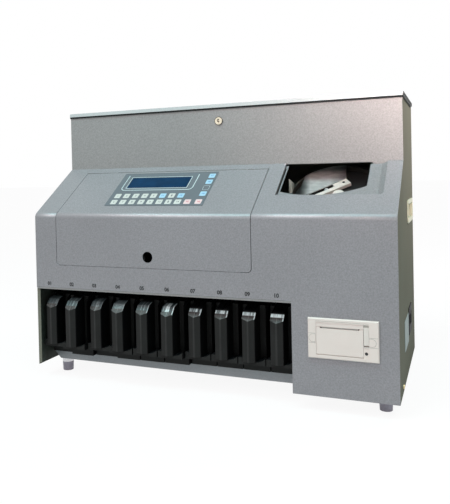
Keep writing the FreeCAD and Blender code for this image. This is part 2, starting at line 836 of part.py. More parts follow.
def box_guides():
    """Upright fins on the tray between the boxes."""
    fins = []
    for gap in range(1, int(d.box_count)):
        middle = gap_middle(gap)
        fins.append(block((f"{middle} - guide_gauge / 2", f"{middle} + guide_gauge / 2"),
                          ("tray_setback + sheet_gauge", "bin_length"),
                          ("tray_top", "tray_top + guide_height")))
    keep(stand(group(*fins)), "box_guides")


def mechanism_deck():
    """Shelf over the boxes with a long coin slot and a leg beside the bay."""
    body = stand(new_body("mechanism_deck"))
    plan = rectangle(f"-{INNER}", INNER, "sheet_gauge", REAR_INNER)
    slot = rectangle(f"-{INNER} + bay_lip", f"{BAY_RIGHT} - bay_lip",
                     "divider_front - side_clearance", "divider_rear + side_clearance")
    pad(body, draw(body, "XY_Plane", plan, slot, level="deck_height - sheet_gauge"), "sheet_gauge")
    leg = rectangle("tray_setback", REAR_INNER, "tray_top", "deck_height")
    pad(body, draw(body, "YZ_Plane", leg, level=f"{BAY_RIGHT} + side_clearance"), "sheet_gauge")


PLATE_UNDER = "(plate_level + plate_gauge)"


def divider(gap):
    """Upright plate between two drops, from above the boxes to the sorting plate."""
    body = doc.addObject("PartDesign::Body", "divider")
    middle = gap_middle(gap)
    profile = [
        ("divider_front", "divider_bottom"),
        ("divider_rear", "divider_bottom"),
        ("divider_rear", under_slope("divider_rear", PLATE_UNDER)),
        ("divider_front", under_slope("divider_front", PLATE_UNDER)),
    ]
    pad(body, draw(body, "YZ_Plane", profile, level=middle), "divider_gauge", both=True)
    return body


def coin_box(number):
    """Moulded coin box: open bin with a prow-fronted pull grip beside a scooped finger recess."""
    body = new_body(f"coin_box_{number:02d}")
    bind(body, "Placement.Base.x", box_middle(number))
    bind(body, "Placement.Base.y", f"{FRONT_FACE} + grip_setback - pull_{number:02d}")
    bind(body, "Placement.Base.z", "tray_top + box_lift")
    rear = "(grip_depth + bin_length)"
    pad(body, draw(body, "YZ_Plane", rectangle("grip_depth", rear, "0", "bin_height")), BOX_WIDTH, both=True)
    left_side, right_side = f"(-{BOX_WIDTH} / 2)", f"({BOX_WIDTH} / 2)"
    left, right = f"({left_side} + grip_inset)", f"({left_side} + grip_inset + grip_width)"
    shelf = rectangle(left_side, right_side, "shelf_front", "grip_depth")
    pad(body, draw(body, "XY_Plane", shelf, level="shelf_bottom"), "shelf_top + scoop_rise - shelf_bottom")
    scoop_radius = f"((({right_side} - {right}) ^ 2 / scoop_rise + scoop_rise) / 2)"
    scoop = (right, f"shelf_top + {scoop_radius}", scoop_radius)
    pocket(body, draw(body, "XZ_Plane", scoop), "grip_depth")
    flank = [
        (f"{right_side} - flank_width", "grip_depth"),
        (right_side, "flank_front"),
        (right_side, "grip_depth"),
    ]
    pad(body, draw(body, "XY_Plane", flank, level="shelf_top"), "bin_height - shelf_top")
    prow = [
        (left, "grip_depth"),
        (left, "grip_prow"),
        (f"{left} + grip_width / 2", "0"),
        (right, "grip_prow"),
        (right, "grip_depth"),
    ]
    pad(body, draw(body, "XY_Plane", prow, level="grip_bottom"), "bin_height - grip_bottom")
    dress(body, "Fillet", "grip_nose", lambda edge: straight_along(edge, "z") and passes(edge, y=0))
    dress(body, "Fillet", "grip_edge", lambda edge: straight_along(edge, "z") and passes(edge, y=d.grip_prow))
    crest = "(grip_shoulder + grip_facet_rise)"
    roof_end = "(grip_facet_run + grip_roof_run)"
    above = [
        ("0", "grip_shoulder"),
        ("grip_facet_run", crest),
        (roof_end, "bin_height"),
        ("0", "bin_height"),
    ]
    pocket(body, draw(body, "YZ_Plane", above), f"2 * {BOX_WIDTH}", both=True)
    roof_steepness = f"((bin_height - {crest}) / grip_roof_run)"
    roof_wall = f"(box_wall * sqrt(1 + {roof_steepness} ^ 2))"
    bin_front = "(grip_depth + box_wall)"
    hollow = [
        (bin_front, "box_wall"),
        (f"{rear} - box_wall", "box_wall"),
        (f"{rear} - box_wall", "bin_height"),
        (roof_end, "bin_height"),
        (roof_end, f"bin_height - {roof_wall}"),
        (bin_front, f"{crest} + ({bin_front} - grip_facet_run) * {roof_steepness} - {roof_wall}"),
    ]
    pocket(body, draw(body, "YZ_Plane", hollow), f"{BOX_WIDTH} - 2 * box_wall", both=True)


def front_door():
    """Door over the sorting rail: bent like the cover, with a finger hole and the display's opening."""
    body = stand(new_body("front_door"))
    edge_y, edge_z = along_slope("door_reach - door_seam")
    profile = [
        ("0", "door_bottom + door_seam"),
        ("0", "front_corner"),
        (edge_y, edge_z),
        (f"{edge_y} + sheet_gauge * {STEEPNESS} / {SLANT}", f"{edge_z} - sheet_gauge / {SLANT}"),
        ("sheet_gauge", under_slope("sheet_gauge")),
        ("sheet_gauge", "door_bottom + door_seam"),
    ]
    sheet_plane = draw(body, "YZ_Plane", profile, level=f"{DOOR_LEFT} + door_seam")
    pad(body, sheet_plane, f"{DOOR_RIGHT} - {DOOR_LEFT} - 2 * door_seam")
    round_bend(body)
    low = d.door_bottom + d.door_seam
    dress(body, "Fillet", "door_corner", lambda edge: straight_along(edge, "y") and passes(edge, z=low))
    hole = (DOOR_MIDDLE, "finger_hole_height", "finger_hole_radius")
    pocket(body, draw(body, "XZ_Plane", hole), "sheet_gauge")
    screen = rectangle(across("screen_left"), across("screen_left + screen_width"),
                       "screen_low", "screen_high")
    pocket(body, draw_on_slope(body, screen), "2 * sheet_gauge")


HINGE_ALONG = "(door_reach + door_hinge_offset)"
HINGE_LEVEL = "(-door_hinge_drop)"


def hinge_places():
    return [f"({DOOR_MIDDLE} + ({side}) * door_hinge_spread)" for side in (-1, 1)]


def door_hinge_arm(middle):
    """Goose-neck arm from the door's inside round the edge of the cover to the hinge pin."""
    body = doc.addObject("PartDesign::Body", "door_hinge_arm")
    low = f"({HINGE_LEVEL} - arm_neck)"
    foot = f"({HINGE_ALONG} - arm_reach)"
    profile = [
        (f"{HINGE_ALONG} + arm_gauge / 2", HINGE_LEVEL),
        (f"{HINGE_ALONG} - arm_gauge / 2", HINGE_LEVEL),
        (f"{HINGE_ALONG} - arm_gauge / 2", f"{low} + arm_gauge"),
        (f"{foot} + arm_gauge", f"{low} + arm_gauge"),
        (f"{foot} + arm_gauge", "-sheet_gauge"),
        (f"{foot} - arm_foot", "-sheet_gauge"),
        (f"{foot} - arm_foot", "-sheet_gauge - arm_gauge / 2"),
        (foot, "-sheet_gauge - arm_gauge / 2"),
        (foot, low),
        (f"{HINGE_ALONG} + arm_gauge / 2", low),
    ]
    level = f"{middle} - arm_width / 2"
    pad(body, draw(body, "YZ_Plane", profile, level=level), "arm_width")
    eye = (HINGE_ALONG, HINGE_LEVEL, "hinge_pin_radius + arm_gauge / 2")
    pad(body, draw(body, "YZ_Plane", eye, level=level), "arm_width")
    bore = (HINGE_ALONG, HINGE_LEVEL, "hinge_pin_radius + running_clearance")
    pocket(body, draw(body, "YZ_Plane", bore, level=f"{middle} + arm_width / 2"), "arm_width")
    return body


def door_hinge_bracket(middle):
    """Two ears under the cover with the hinge pin pressed through them."""
    inner = "arm_width / 2 + side_clearance"
    reach = "(hinge_pin_radius + arm_gauge / 2)"
    sides = ((f"{middle} - ({inner} + ear_gauge)", f"{middle} - ({inner})"),
             (f"{middle} + {inner}", f"{middle} + {inner} + ear_gauge"))
    ears = [block(span, (f"{HINGE_ALONG} - {reach}", f"{HINGE_ALONG} + {reach}"),
                  (f"{HINGE_LEVEL} - {reach}", "-sheet_gauge")) for span in sides]
    pin = rod("x", (HINGE_ALONG, HINGE_LEVEL), "hinge_pin_radius",
              f"{middle} - ({inner} + ear_gauge)", f"{middle} + {inner} + ear_gauge")
    return fuse(*ears, pin)


def keypad_overlay():
    """Printed membrane on the door's slope, open at the display."""
    body = lean(new_body("keypad_overlay"))
    outline = rectangle(across("overlay_left"), across("overlay_left + overlay_width"),
                        "overlay_low", "overlay_high")
    screen = rectangle(across("screen_left"), across("screen_left + screen_width"),
                       "screen_low", "screen_high")
    pad(body, draw(body, "XY_Plane", outline, screen), "overlay_gauge")
    ends = (d.overlay_left - half_width, d.overlay_left + d.overlay_width - half_width)
    dress(body, "Fillet", "overlay_corner",
          lambda edge: straight_along(edge, "z") and any(passes(edge, x=x) for x in ends))


def display_board():
    """Circuit board behind the door with the display module and four spacers."""
    body = lean(new_body("display_board"))
    left, right = across("screen_left"), across("screen_left + screen_width")
    module = rectangle(f"{left} - module_margin", f"{right} + module_margin",
                       "screen_low - module_margin", "screen_high + module_margin")
    pad(body, draw(body, "XY_Plane", module, level="-sheet_gauge - module_depth"), "module_depth")
    glass = rectangle(f"{left} + screen_clearance", f"{right} - screen_clearance",
                      "screen_low + screen_clearance", "screen_high - screen_clearance")
    pad(body, draw(body, "XY_Plane", glass, level="-sheet_gauge"), "sheet_gauge + overlay_gauge / 2")
    board_left = across("overlay_left + module_margin")
    board_right = across("overlay_left + overlay_width - module_margin")
    board = rectangle(board_left, board_right, "overlay_low + module_margin", "screen_low")
    pad(body, draw(body, "XY_Plane", board, level="-sheet_gauge - module_depth"), "board_gauge")
    spacers = [(f"{place}", "overlay_low + module_margin * 2", "standoff_radius")
               for place in (f"{board_left} + module_margin", f"{board_right} - module_margin")]
    pad(body, draw(body, "XY_Plane", *spacers, level="-sheet_gauge - module_depth"), "module_depth")


GUARD_DEEP = "(sheet_gauge + recess_depth + guard_gauge)"
GUARD_END = f"(slope_run * {SLANT} - {GUARD_DEEP} * {STEEPNESS})"


def window_guard():
    """Shallow pan under the slope's window; its floor has the round-bottomed disc opening and a slot."""
    left, right = RECESS_LEFT, RECESS_RIGHT
    pan = block((f"{left} - guard_margin", f"{right} + guard_margin"),
                ("recess_low - guard_margin", GUARD_END), (f"-{GUARD_DEEP}", "-sheet_gauge"))
    recess = block((left, right), ("recess_low", f"{GUARD_END} + guard_margin"),
                   ("-sheet_gauge - recess_depth", "0"))
    opening_left = f"({left} + guard_left_bar)"
    span = block((opening_left, f"{opening_left} + guard_opening_width"),
                 ("recess_low", f"{GUARD_END} + guard_margin"), (f"-{GUARD_DEEP} - guard_gauge", "0"))
    disc = rod("z", (f"{opening_left} + guard_arc_offset", "guard_arc_low + guard_arc_radius"),
               "guard_arc_radius", f"-{GUARD_DEEP} - guard_gauge", "0")
    slot = block((left, f"{left} + guard_slot"), ("recess_low + guard_margin", f"{GUARD_END} - guard_margin"),
                 (f"-{GUARD_DEEP} - guard_gauge", "0"))
    keep(lean(cut(pan, recess, common(span, disc), slot)), "window_guard")


DISC_X = f"({HALF} - disc_margin)"
RING_INNER = "(disc_radius + ring_clearance)"
RING_OUTER = "(disc_radius + ring_clearance + ring_wall)"
BASE_TOP = "(plate_level + disc_gauge + disc_clearance)"
BASE_BOTTOM = f"({BASE_TOP} + ring_base)"
PLATE_RIGHT = f"({DISC_X} - {RING_OUTER} - plate_gap)"


def sorting_disc():
    """Flat disc parallel to the slope, with a domed hub cap."""
    body = lean(new_body("sorting_disc"))
    plate, hub = (DISC_X, "disc_along", "disc_radius"), (DISC_X, "disc_along", "hub_radius")
    pad(body, draw(body, "XY_Plane", plate, level="-plate_level - disc_gauge"), "disc_gauge")
    pad(body, draw(body, "XY_Plane", hub, level="-plate_level"), "hub_height")
    dress(body, "Fillet", "hub_radius / 3", lambda edge: passes(edge, z=d.hub_height - d.plate_level))


def disc_ring():
    """Cast base and ring wall round the disc, with the coin exit, spindle boss and side bracket."""
    base = rod("z", (DISC_X, "disc_along"), RING_OUTER, f"-{BASE_BOTTOM}", f"-{BASE_TOP}")
    wall = cut(rod("z", (DISC_X, "disc_along"), RING_OUTER, f"-{BASE_BOTTOM}", "-ring_top"),
               rod("z", (DISC_X, "disc_along"), RING_INNER, f"-{BASE_TOP}", "-ring_top"))
    span = ("disc_along - bracket_width / 2", "disc_along + bracket_width / 2")
    arm = block((DISC_X, INNER), span, (f"-{BASE_BOTTOM}", f"-{BASE_TOP}"))
    foot = block((f"{INNER} - ring_base", INNER), span, (f"-{BASE_BOTTOM} - boss_length", f"-{BASE_TOP}"))
    boss = rod("z", (DISC_X, "disc_along"), "boss_radius", f"-{BASE_BOTTOM} - boss_length", f"-{BASE_TOP}")
    ledge = block((f"{PLATE_RIGHT} + side_clearance", f"{DISC_X} - boss_radius"),
                  ("exit_low", "exit_low + exit_width"), (f"-{BASE_BOTTOM}", "-plate_level"))
    well = rod("z", (DISC_X, "disc_along"), RING_INNER, f"-{BASE_TOP}", "0")
    exit_gap = block((f"{DISC_X} - {RING_OUTER} - ring_wall", f"{DISC_X} - boss_radius"),
                     ("exit_low", "exit_low + exit_width"), ("-plate_level", "0"))
    bore = rod("z", (DISC_X, "disc_along"), "spindle_radius + running_clearance",
               f"-{BASE_BOTTOM} - boss_length", "0")
    keep(lean(cut(fuse(base, wall, arm, foot, boss, ledge), well, exit_gap, bore)), "disc_ring")


def belt_wheel(centre, shaft_radius, shaft_top):
    """Flanged pulley on a shaft, square to the slope."""
    low, high = "-drive_level - drive_pulley_width / 2", "-drive_level + drive_pulley_width / 2"
    rim = "drive_pulley_radius + pulley_rim"
    return fuse(rod("z", centre, "drive_pulley_radius", low, high),
                rod("z", centre, rim, f"{low} - pulley_flange", low),
                rod("z", centre, rim, high, f"{high} + pulley_flange"),
                rod("z", centre, shaft_radius, f"{low} - pulley_flange", shaft_top))


def disc_drive():
    """Spindle, motor, motor pulley and flat belt under the disc."""
    disc_centre = (DISC_X, "disc_along")
    motor_centre = (f"{DISC_X} + drive_spacing", "disc_along")
    keep(lean(belt_wheel(disc_centre, "spindle_radius", "-plate_level - disc_gauge")), "disc_spindle")
    motor_end = f"-{BASE_BOTTOM} - disc_motor_length"
    keep(lean(belt_wheel(motor_centre, "motor_shaft_radius", motor_end)), "motor_pulley")
    can = rod("z", motor_centre, "disc_motor_radius", motor_end, f"-{BASE_BOTTOM}")
    box = block((f"{motor_centre[0]} - disc_motor_radius", f"{motor_centre[0]} + disc_motor_radius"),
                ("disc_along - disc_motor_radius", "disc_along + disc_motor_radius"),
                (f"-{BASE_BOTTOM} - motor_mount", f"-{BASE_BOTTOM}"))
    keep(lean(fuse(can, box)), "disc_motor")
    belt = loop_belt("x", "z", (disc_centre[0], motor_centre[0]), "disc_along",
                     "(drive_pulley_radius + belt_gap)", "belt_gauge",
                     "-drive_level - drive_pulley_width / 2 + belt_gap",
                     "-drive_level + drive_pulley_width / 2 - belt_gap")
    keep(lean(belt), "disc_belt")


BAR_RUN = "(bar_right_aside - bar_left_aside)"
BAR_CLIMB = "(bar_right_ahead - bar_left_ahead)"
BAR_LENGTH = f"sqrt({BAR_RUN} ^ 2 + {BAR_CLIMB} ^ 2)"


def bar_point(run, back):
    """A point of the stripper bar's plan: how far from its left end, and how far behind its front edge."""
    return (f"{DISC_X} + bar_left_aside + (({run}) * {BAR_RUN} - ({back}) * {BAR_CLIMB}) / {BAR_LENGTH}",
            f"disc_along + bar_left_ahead + (({run}) * {BAR_CLIMB} + ({back}) * {BAR_RUN}) / {BAR_LENGTH}")


def bar_strip(left, right, front, rear):
    return [bar_point(left, front), bar_point(right, front), bar_point(right, rear), bar_point(left, rear)]


def stripper_bar():
    """Slotted bar across the disc that levels the coins, with a screw hole at its free end."""
    body = lean(new_body("stripper_bar"))
    plan = bar_strip("0", BAR_LENGTH, "0", "bar_width")
    pad(body, draw(body, "XY_Plane", plan, level="-ring_top - bar_thickness"), "bar_thickness")
    slot = bar_strip("bar_slot_left", f"{BAR_LENGTH} - bar_slot_right",
                     "bar_slot_front", "bar_slot_front + bar_slot_width")
    pocket(body, draw(body, "XY_Plane", slot, level="-ring_top"), "2 * bar_thickness")
    hole = (*bar_point(f"{BAR_LENGTH} - bar_hole_inset", "bar_width / 2"), "bar_hole_radius")
    pocket(body, draw(body, "XY_Plane", hole, level="-ring_top"), "bar_thickness / 2")


def coin_hood():
    """Flat steel hood that lies on the ring's left rear and on the stripper bar's rear edge."""
    body = lean(new_body("coin_hood"))
    pad(body, draw(body, "XY_Plane", (DISC_X, "disc_along", RING_OUTER), level="-ring_top"), "hood_gauge")
    left, right = [bar_point(run, "bar_width - hood_lap") for run in ("0", BAR_LENGTH)]
    left_rim, right_rim = [(f"{DISC_X} + {RING_OUTER} * cos({turn})",
                            f"disc_along + {RING_OUTER} * sin({turn})")
                           for turn in ("hood_left_angle", "hood_rear_angle")]
    beyond = {(side, end): (f"{DISC_X} + ({side}) * 2 * {RING_OUTER}",
                            f"disc_along + ({end}) * 2 * {RING_OUTER}")
              for side in (-1, 1) for end in (-1, 1)}
    for spare in ([left, right, beyond[1, -1], beyond[-1, -1]],
                  [right, right_rim, beyond[1, 1], beyond[1, -1]],
                  [left_rim, left, beyond[-1, -1], beyond[-1, 1]]):
        pocket(body, draw(body, "XY_Plane", spare, level="hood_gauge - ring_top"), "2 * hood_gauge")


def sort_plate():
    """Inclined plate with a coin rail and a drop for each coin size, widest nearest the disc."""
    body = lean(new_body("sort_plate"))
    left, right = across("plate_left"), PLATE_RIGHT
    plan = rectangle(left, right, "plate_low", "plate_high")
    pad(body, draw(body, "XY_Plane", plan, level=f"-{PLATE_UNDER}"), "plate_gauge")
    rail = rectangle(left, right, "rail_low", "rail_line")
    pad(body, draw(body, "XY_Plane", rail, level="-plate_level"), "rail_height")
    drops = []
    for place in range(1, int(d.box_count)):
        middle = box_middle(place)
        drops.append(rectangle(f"{middle} - drop_width / 2", f"{middle} + drop_width / 2",
                               "rail_line", f"rail_line + drop_small + drop_step * {place - 1}"))
    pocket(body, draw(body, "XY_Plane", *drops, level="-plate_level"), "plate_gauge")


TRANSPORT_LEVEL = "(coin_gap + belt_gauge + belt_gap + transport_radius - plate_level)"
TRANSPORT_ENDS = (f"({across('plate_left')} + transport_left_inset)",
                  f"({PLATE_RIGHT} - transport_right_inset)")
THROAT_LEFT = across("throat_left")
THROAT_RIGHT = f"({HALF} - throat_margin)"
THROAT_REAR = "(casing_depth - throat_rear_margin)"
FEED_ENDS = (f"({THROAT_LEFT} + feed_inset)", f"({THROAT_RIGHT} - feed_inset)")


def transport():
    """Belt over the sorting plate with its two pulleys and the frame that carries them."""
    belt = loop_belt("x", "y", TRANSPORT_ENDS, TRANSPORT_LEVEL, "(transport_radius + belt_gap)", "belt_gauge",
                     "transport_low", "transport_low + transport_width")
    keep(lean(belt), "transport_belt")
    for label, end in zip(("transport_drive_pulley", "transport_idler_pulley"), TRANSPORT_ENDS):
        wheel = rod("y", (end, TRANSPORT_LEVEL), "transport_radius",
                    "transport_low", "transport_low + transport_width")
        shaft = rod("y", (end, TRANSPORT_LEVEL), "transport_shaft_radius",
                    "transport_low - transport_shaft_end", "frame_low + frame_gauge")
        keep(lean(fuse(wheel, shaft)), label)
    plate = block((f"{TRANSPORT_ENDS[0]} - frame_overhang", f"{TRANSPORT_ENDS[1]} + frame_overhang"),
                  ("frame_low", "frame_low + frame_gauge"), ("-plate_level", "frame_height - plate_level"))
    bores = [rod("y", (end, TRANSPORT_LEVEL), "transport_shaft_radius + running_clearance",
                 "frame_low", "frame_low + frame_gauge") for end in TRANSPORT_ENDS]
    keep(lean(cut(plate, *bores)), "transport_frame")


def belt_motors():
    """Geared motors of the transport belt and the feed belt."""
    transport_motor = rod("y", (TRANSPORT_ENDS[0], TRANSPORT_LEVEL), "motor_radius",
                          "frame_low + frame_gauge", "frame_low + frame_gauge + motor_length")
    feed_motor = rod("y", (FEED_ENDS[1], "feed_level"), "motor_radius",
                     f"{THROAT_REAR} + bin_gauge", f"{THROAT_REAR} + bin_gauge + motor_length")
    keep(group(lean(group(transport_motor)), stand(group(feed_motor))), "belt_motors")


def hopper_bin():
    """Sheet funnel in the tower, with cheeks for the feed rollers and an apron towards the disc."""
    body = stand(new_body("hopper_bin"))

    def mouth(inset):
        return rectangle(f"-{INNER} + {inset}", f"{HALF} - bin_margin - {inset}",
                         f"slope_run + bin_setback + {inset}", f"{REAR_INNER} - {inset}")

    def throat(outset):
        return rectangle(f"{THROAT_LEFT} - {outset}", f"{THROAT_RIGHT} + {outset}",
                         f"throat_front - {outset}", f"{THROAT_REAR} + {outset}")
    top = "tower_top - sheet_gauge"
    for kind, inset, outset in (("Additive", "0", "bin_gauge"), ("Subtractive", "bin_gauge", "0")):
        upper = draw(body, "XY_Plane", mouth(inset), level=top)
        lower = draw(body, "XY_Plane", throat(outset), level="throat_level")
        loft = body.newObject(f"PartDesign::{kind}Loft", f"hopper_bin_{kind.lower()}")
        loft.Profile = upper
        loft.Sections = [lower]
        loft.Ruled = True
    cheek = rectangle(THROAT_LEFT, f"{THROAT_RIGHT} + cheek_reach", "cheek_bottom", "throat_level")
    pad(body, draw(body, "XZ_Plane", cheek, level="bin_gauge - throat_front"), "bin_gauge", backwards=True)
    pad(body, draw(body, "XZ_Plane", cheek, level=f"-{THROAT_REAR}"), "bin_gauge", backwards=True)
    bores = [(end, "feed_level", "feed_shaft_radius + running_clearance") for end in FEED_ENDS]
    pocket(body, draw(body, "XZ_Plane", *bores), "casing_depth")
    apron = [
        (f"{THROAT_REAR} + bin_gauge", "apron_rear_level"),
        ("apron_front", "apron_front_level"),
        ("apron_front", "apron_front_level - bin_gauge"),
        (f"{THROAT_REAR} + bin_gauge", "apron_rear_level - bin_gauge"),
    ]
    apron_left = f"({THROAT_RIGHT} + apron_lap)"
    pad(body, draw(body, "YZ_Plane", apron, level=apron_left), f"{HALF} - apron_margin - {apron_left}")


def feed_belt():
    """Belt under the hopper with its drive and idler rollers."""
    low, high = "throat_front + side_clearance", f"{THROAT_REAR} - side_clearance"
    belt = loop_belt("x", "y", FEED_ENDS, "feed_level", "(feed_radius + belt_gap)", "belt_gauge",
                     f"{low} + feed_belt_inset", f"{high} - feed_belt_inset")
    keep(stand(belt), "feed_belt")
    for label, end in zip(("feed_idler_roller", "feed_drive_roller"), FEED_ENDS):
        drum = rod("y", (end, "feed_level"), "feed_radius", low, high)
        shaft = rod("y", (end, "feed_level"), "feed_shaft_radius",
                    "throat_front - bin_gauge", f"{THROAT_REAR} + bin_gauge")
        keep(stand(fuse(drum, shaft)), label)


LOCK_HEIGHT = "(tower_top - lock_drop)"


def lid_lock():
    """Cam lock in the tower's front: barrel with nut, and plug with cam, drawn unlocked."""
    rear = f"({TOWER_FRONT} + lock_barrel_length)"
    centre = ("0", LOCK_HEIGHT)
    nut = doc.addObject("Part::Prism", "nut")
    nut.Polygon = 6
    nut.Placement = FreeCAD.Placement(V(), FreeCAD.Rotation(*AXIS_TURNS["y"]))
    bind(nut, "Circumradius", "lock_nut_radius")
    bind(nut, "Height", "lock_nut")
    bind(nut, "Placement.Base.y", TOWER_FRONT)
    bind(nut, "Placement.Base.z", LOCK_HEIGHT)
    flange = rod("y", centre, "lock_flange_radius", "slope_run - lock_flange", "slope_run")
    barrel = rod("y", centre, "lock_barrel_radius", "slope_run", rear)
    bore = rod("y", centre, "lock_plug_radius + running_clearance", "slope_run - lock_flange", rear)
    keep(stand(cut(fuse(flange, barrel, nut), bore)), "lock_barrel")
    plug = rod("y", centre, "lock_plug_radius", "slope_run - lock_flange", rear)
    cam = block(("-cam_width / 2", "cam_width / 2"), (rear, f"{rear} + cam_gauge"),
                (f"{LOCK_HEIGHT} - cam_width / 2", f"{LOCK_HEIGHT} + cam_length"))
    keyway = block(("-lock_plug_radius / 6", "lock_plug_radius / 6"),
                   ("slope_run - lock_flange", "slope_run"),
                   (f"{LOCK_HEIGHT} - lock_plug_radius * 0.7", f"{LOCK_HEIGHT} + lock_plug_radius * 0.7"))
    keep(stand(cut(fuse(plug, cam), keyway)), "lock_plug")


def hopper_lid():
    """Shallow tray lid with a catch for the lock's cam."""
    body = stand(new_body("hopper_lid"))
    low = "tower_top + lid_gap"

    def plan(inset):
        return rectangle(f"-{HALF} - lid_overhang + {inset}", f"{HALF} + lid_overhang - {inset}",
                         f"slope_run - lid_overhang + {inset}", f"casing_depth - {inset}")
    pad(body, draw(body, "XY_Plane", plan("0"), level=low), "lid_height - lid_gap")
    dress(body, "Fillet", "lid_corner", lambda edge: straight_along(edge, "z"))
    pocket(body, draw(body, "XY_Plane", plan("sheet_gauge"), level=low), "lid_height - lid_gap - sheet_gauge",
           backwards=True)
    front = "(slope_run + catch_setback)"
    catch = rectangle(front, f"{front} + catch_depth", f"{LOCK_HEIGHT} - cam_width * 1.3",
                      "tower_top + lid_height - sheet_gauge")
    sweep = "sqrt(cam_length ^ 2 + cam_width ^ 2 / 4 - catch_offset ^ 2)"
    window = rectangle(f"{front} - catch_gauge", f"{front} + catch_depth / 2",
                       f"{LOCK_HEIGHT} - cam_width / 2 - catch_clearance",
                       f"{LOCK_HEIGHT} + {sweep} + catch_clearance")
    pad(body, draw(body, "YZ_Plane", catch, level="catch_offset"), "catch_gauge")
    pocket(body, draw(body, "YZ_Plane", window, level="catch_offset + catch_gauge"), "catch_gauge")


def lid_hinges():
    """Two butt hinges on the back: fixed leaves with the pins, and leaves on the lid."""
    axis = ("casing_depth + knuckle_radius", "tower_top")
    leaf = ("casing_depth", "casing_depth + leaf_gauge")
    clear = "(knuckle_radius + side_clearance)"
    fixed, moving = [], []
    for side in (-1, 1):
        middle = f"(({side}) * hinge_spread)"
        ends = (f"{middle} - hinge_length / 2", f"{middle} + hinge_length / 2")
        centre = (f"{middle} - hinge_length / 6", f"{middle} + hinge_length / 6")
        outer = ((ends[0], f"{centre[0]} - side_clearance"), (f"{centre[1]} + side_clearance", ends[1]))
        pieces = [block(ends, leaf, ("tower_top - leaf_height", f"tower_top - {clear}")),
                  rod("x", axis, "lid_pin_radius", *ends)]
        for span in outer:
            pieces.append(rod("x", axis, "knuckle_radius", *span))
            pieces.append(block(span, leaf, (f"tower_top - {clear}", "tower_top - lid_gap")))
        fixed.append(fuse(*pieces))
        top = "tower_top + lid_height - leaf_gauge"
        plate = fuse(block(ends, leaf, (f"tower_top + {clear}", top)),
                     block(centre, leaf, ("tower_top + lid_gap", top)),
                     rod("x", axis, "knuckle_radius", *centre))
        moving.append(cut(plate, rod("x", axis, "lid_pin_radius + running_clearance", *ends)))
    keep(stand(group(*fixed)), "rear_hinge_leaf")
    keep(stand(group(*moving)), "lid_hinge_leaf")


PRINTER_FRONT = "(bezel_proud - field_sink)"
PRINTER_AXIS_Y = "(printer_door_gauge / 2 - bezel_proud + field_sink / 2)"
PRINTER_AXIS_Z = printer_z("field_low + printer_gap + printer_door_gauge / 2")
LEVER_AXIS_Z = printer_z("lever_low + printer_gap + lever_thickness / 2")


def printer_bezel():
    """Bevelled face frame of the panel printer, with its collar, paper edge and button block."""
    body = stand(new_body("printer_bezel"))
    field = rectangle(printer_x("field_left"), printer_x("field_right"),
                      printer_z("field_low"), printer_z("field_high"))
    face = rectangle(printer_x("0"), printer_x("bezel_width"), printer_z("0"), printer_z("bezel_height"))
    pad(body, draw(body, "XZ_Plane", face, field, level="bezel_proud"), "bezel_proud", backwards=True)
    middle = half_width - d.column_width / 2 + d.printer_offset
    edges = (middle - d.bezel_width / 2, middle + d.bezel_width / 2)
    rises = (d.printer_height - d.bezel_height / 2, d.printer_height + d.bezel_height / 2)
    dress(body, "Chamfer", "bezel_bevel", lambda edge: passes(edge, y=-d.bezel_proud) and (
        any(passes(edge, x=x) for x in edges) or any(passes(edge, z=z) for z in rises)))
    collar = rectangle(printer_x("collar_inset"), printer_x("bezel_width - collar_inset"),
                       printer_z("collar_inset"), printer_z("bezel_height - collar_inset"))
    pad(body, draw(body, "XZ_Plane", collar, field), "collar_depth", backwards=True)
    depth = f"{PRINTER_FRONT} + collar_depth"
    paper_edge = rectangle(printer_x("field_left"), printer_x("lever_left"),
                           printer_z("paper_line"), printer_z("field_high"))
    pad(body, draw(body, "XZ_Plane", paper_edge, level=PRINTER_FRONT), depth, backwards=True)
    buttons = rectangle(printer_x("lever_left"), printer_x("field_right"),
                        printer_z("field_low"), printer_z("lever_low"))
    pad(body, draw(body, "XZ_Plane", buttons, level=PRINTER_FRONT), depth, backwards=True)
    pin = (PRINTER_AXIS_Y, PRINTER_AXIS_Z, "printer_pin_radius + running_clearance")
    pin_depth = "2 * printer_pin_radius"
    pocket(body, draw(body, "YZ_Plane", pin, level=printer_x("field_left")), pin_depth)
    pocket(body, draw(body, "YZ_Plane", pin, level=printer_x("lever_left")), pin_depth, backwards=True)
    lever_pin = (PRINTER_AXIS_Y, LEVER_AXIS_Z, "printer_pin_radius + running_clearance")
    pocket(body, draw(body, "YZ_Plane", lever_pin, level=printer_x("field_right")), pin_depth, backwards=True)
    button = (printer_x("(lever_left + field_right) / 2"), printer_z("button_height"),
              "button_radius + running_clearance")
    pocket(body, draw(body, "XZ_Plane", button, level=PRINTER_FRONT), depth)


def printer_housing():
    """Printer body behind the front, open towards the door for the paper."""
    body = stand(new_body("printer_housing"))
    shell = rectangle(printer_x("collar_inset"), printer_x("bezel_width - collar_inset"),
                      printer_z("collar_inset"), printer_z("bezel_height - collar_inset"))
    length = "printer_depth - collar_depth"
    pad(body, draw(body, "XZ_Plane", shell, level="-collar_depth"), length, backwards=True)
    well = rectangle(printer_x("collar_inset + printer_wall"), printer_x("lever_left"),
                     printer_z("field_low"), printer_z("field_high"))
    pocket(body, draw(body, "XZ_Plane", well, level="-collar_depth"), f"{length} - printer_wall")


def barrelled_flap(body, outline, axis_z, gauge, span):
    """A printer flap: a plate above a full-round lower edge that turns about the edge's middle."""
    pad(body, draw(body, "XZ_Plane", outline, level="bezel_proud - field_sink / 2"), gauge, backwards=True)
    low, high = span
    barrel = (PRINTER_AXIS_Y, axis_z, f"{gauge} / 2")
    pad(body, draw(body, "YZ_Plane", barrel, level=low), f"{high} - {low}")


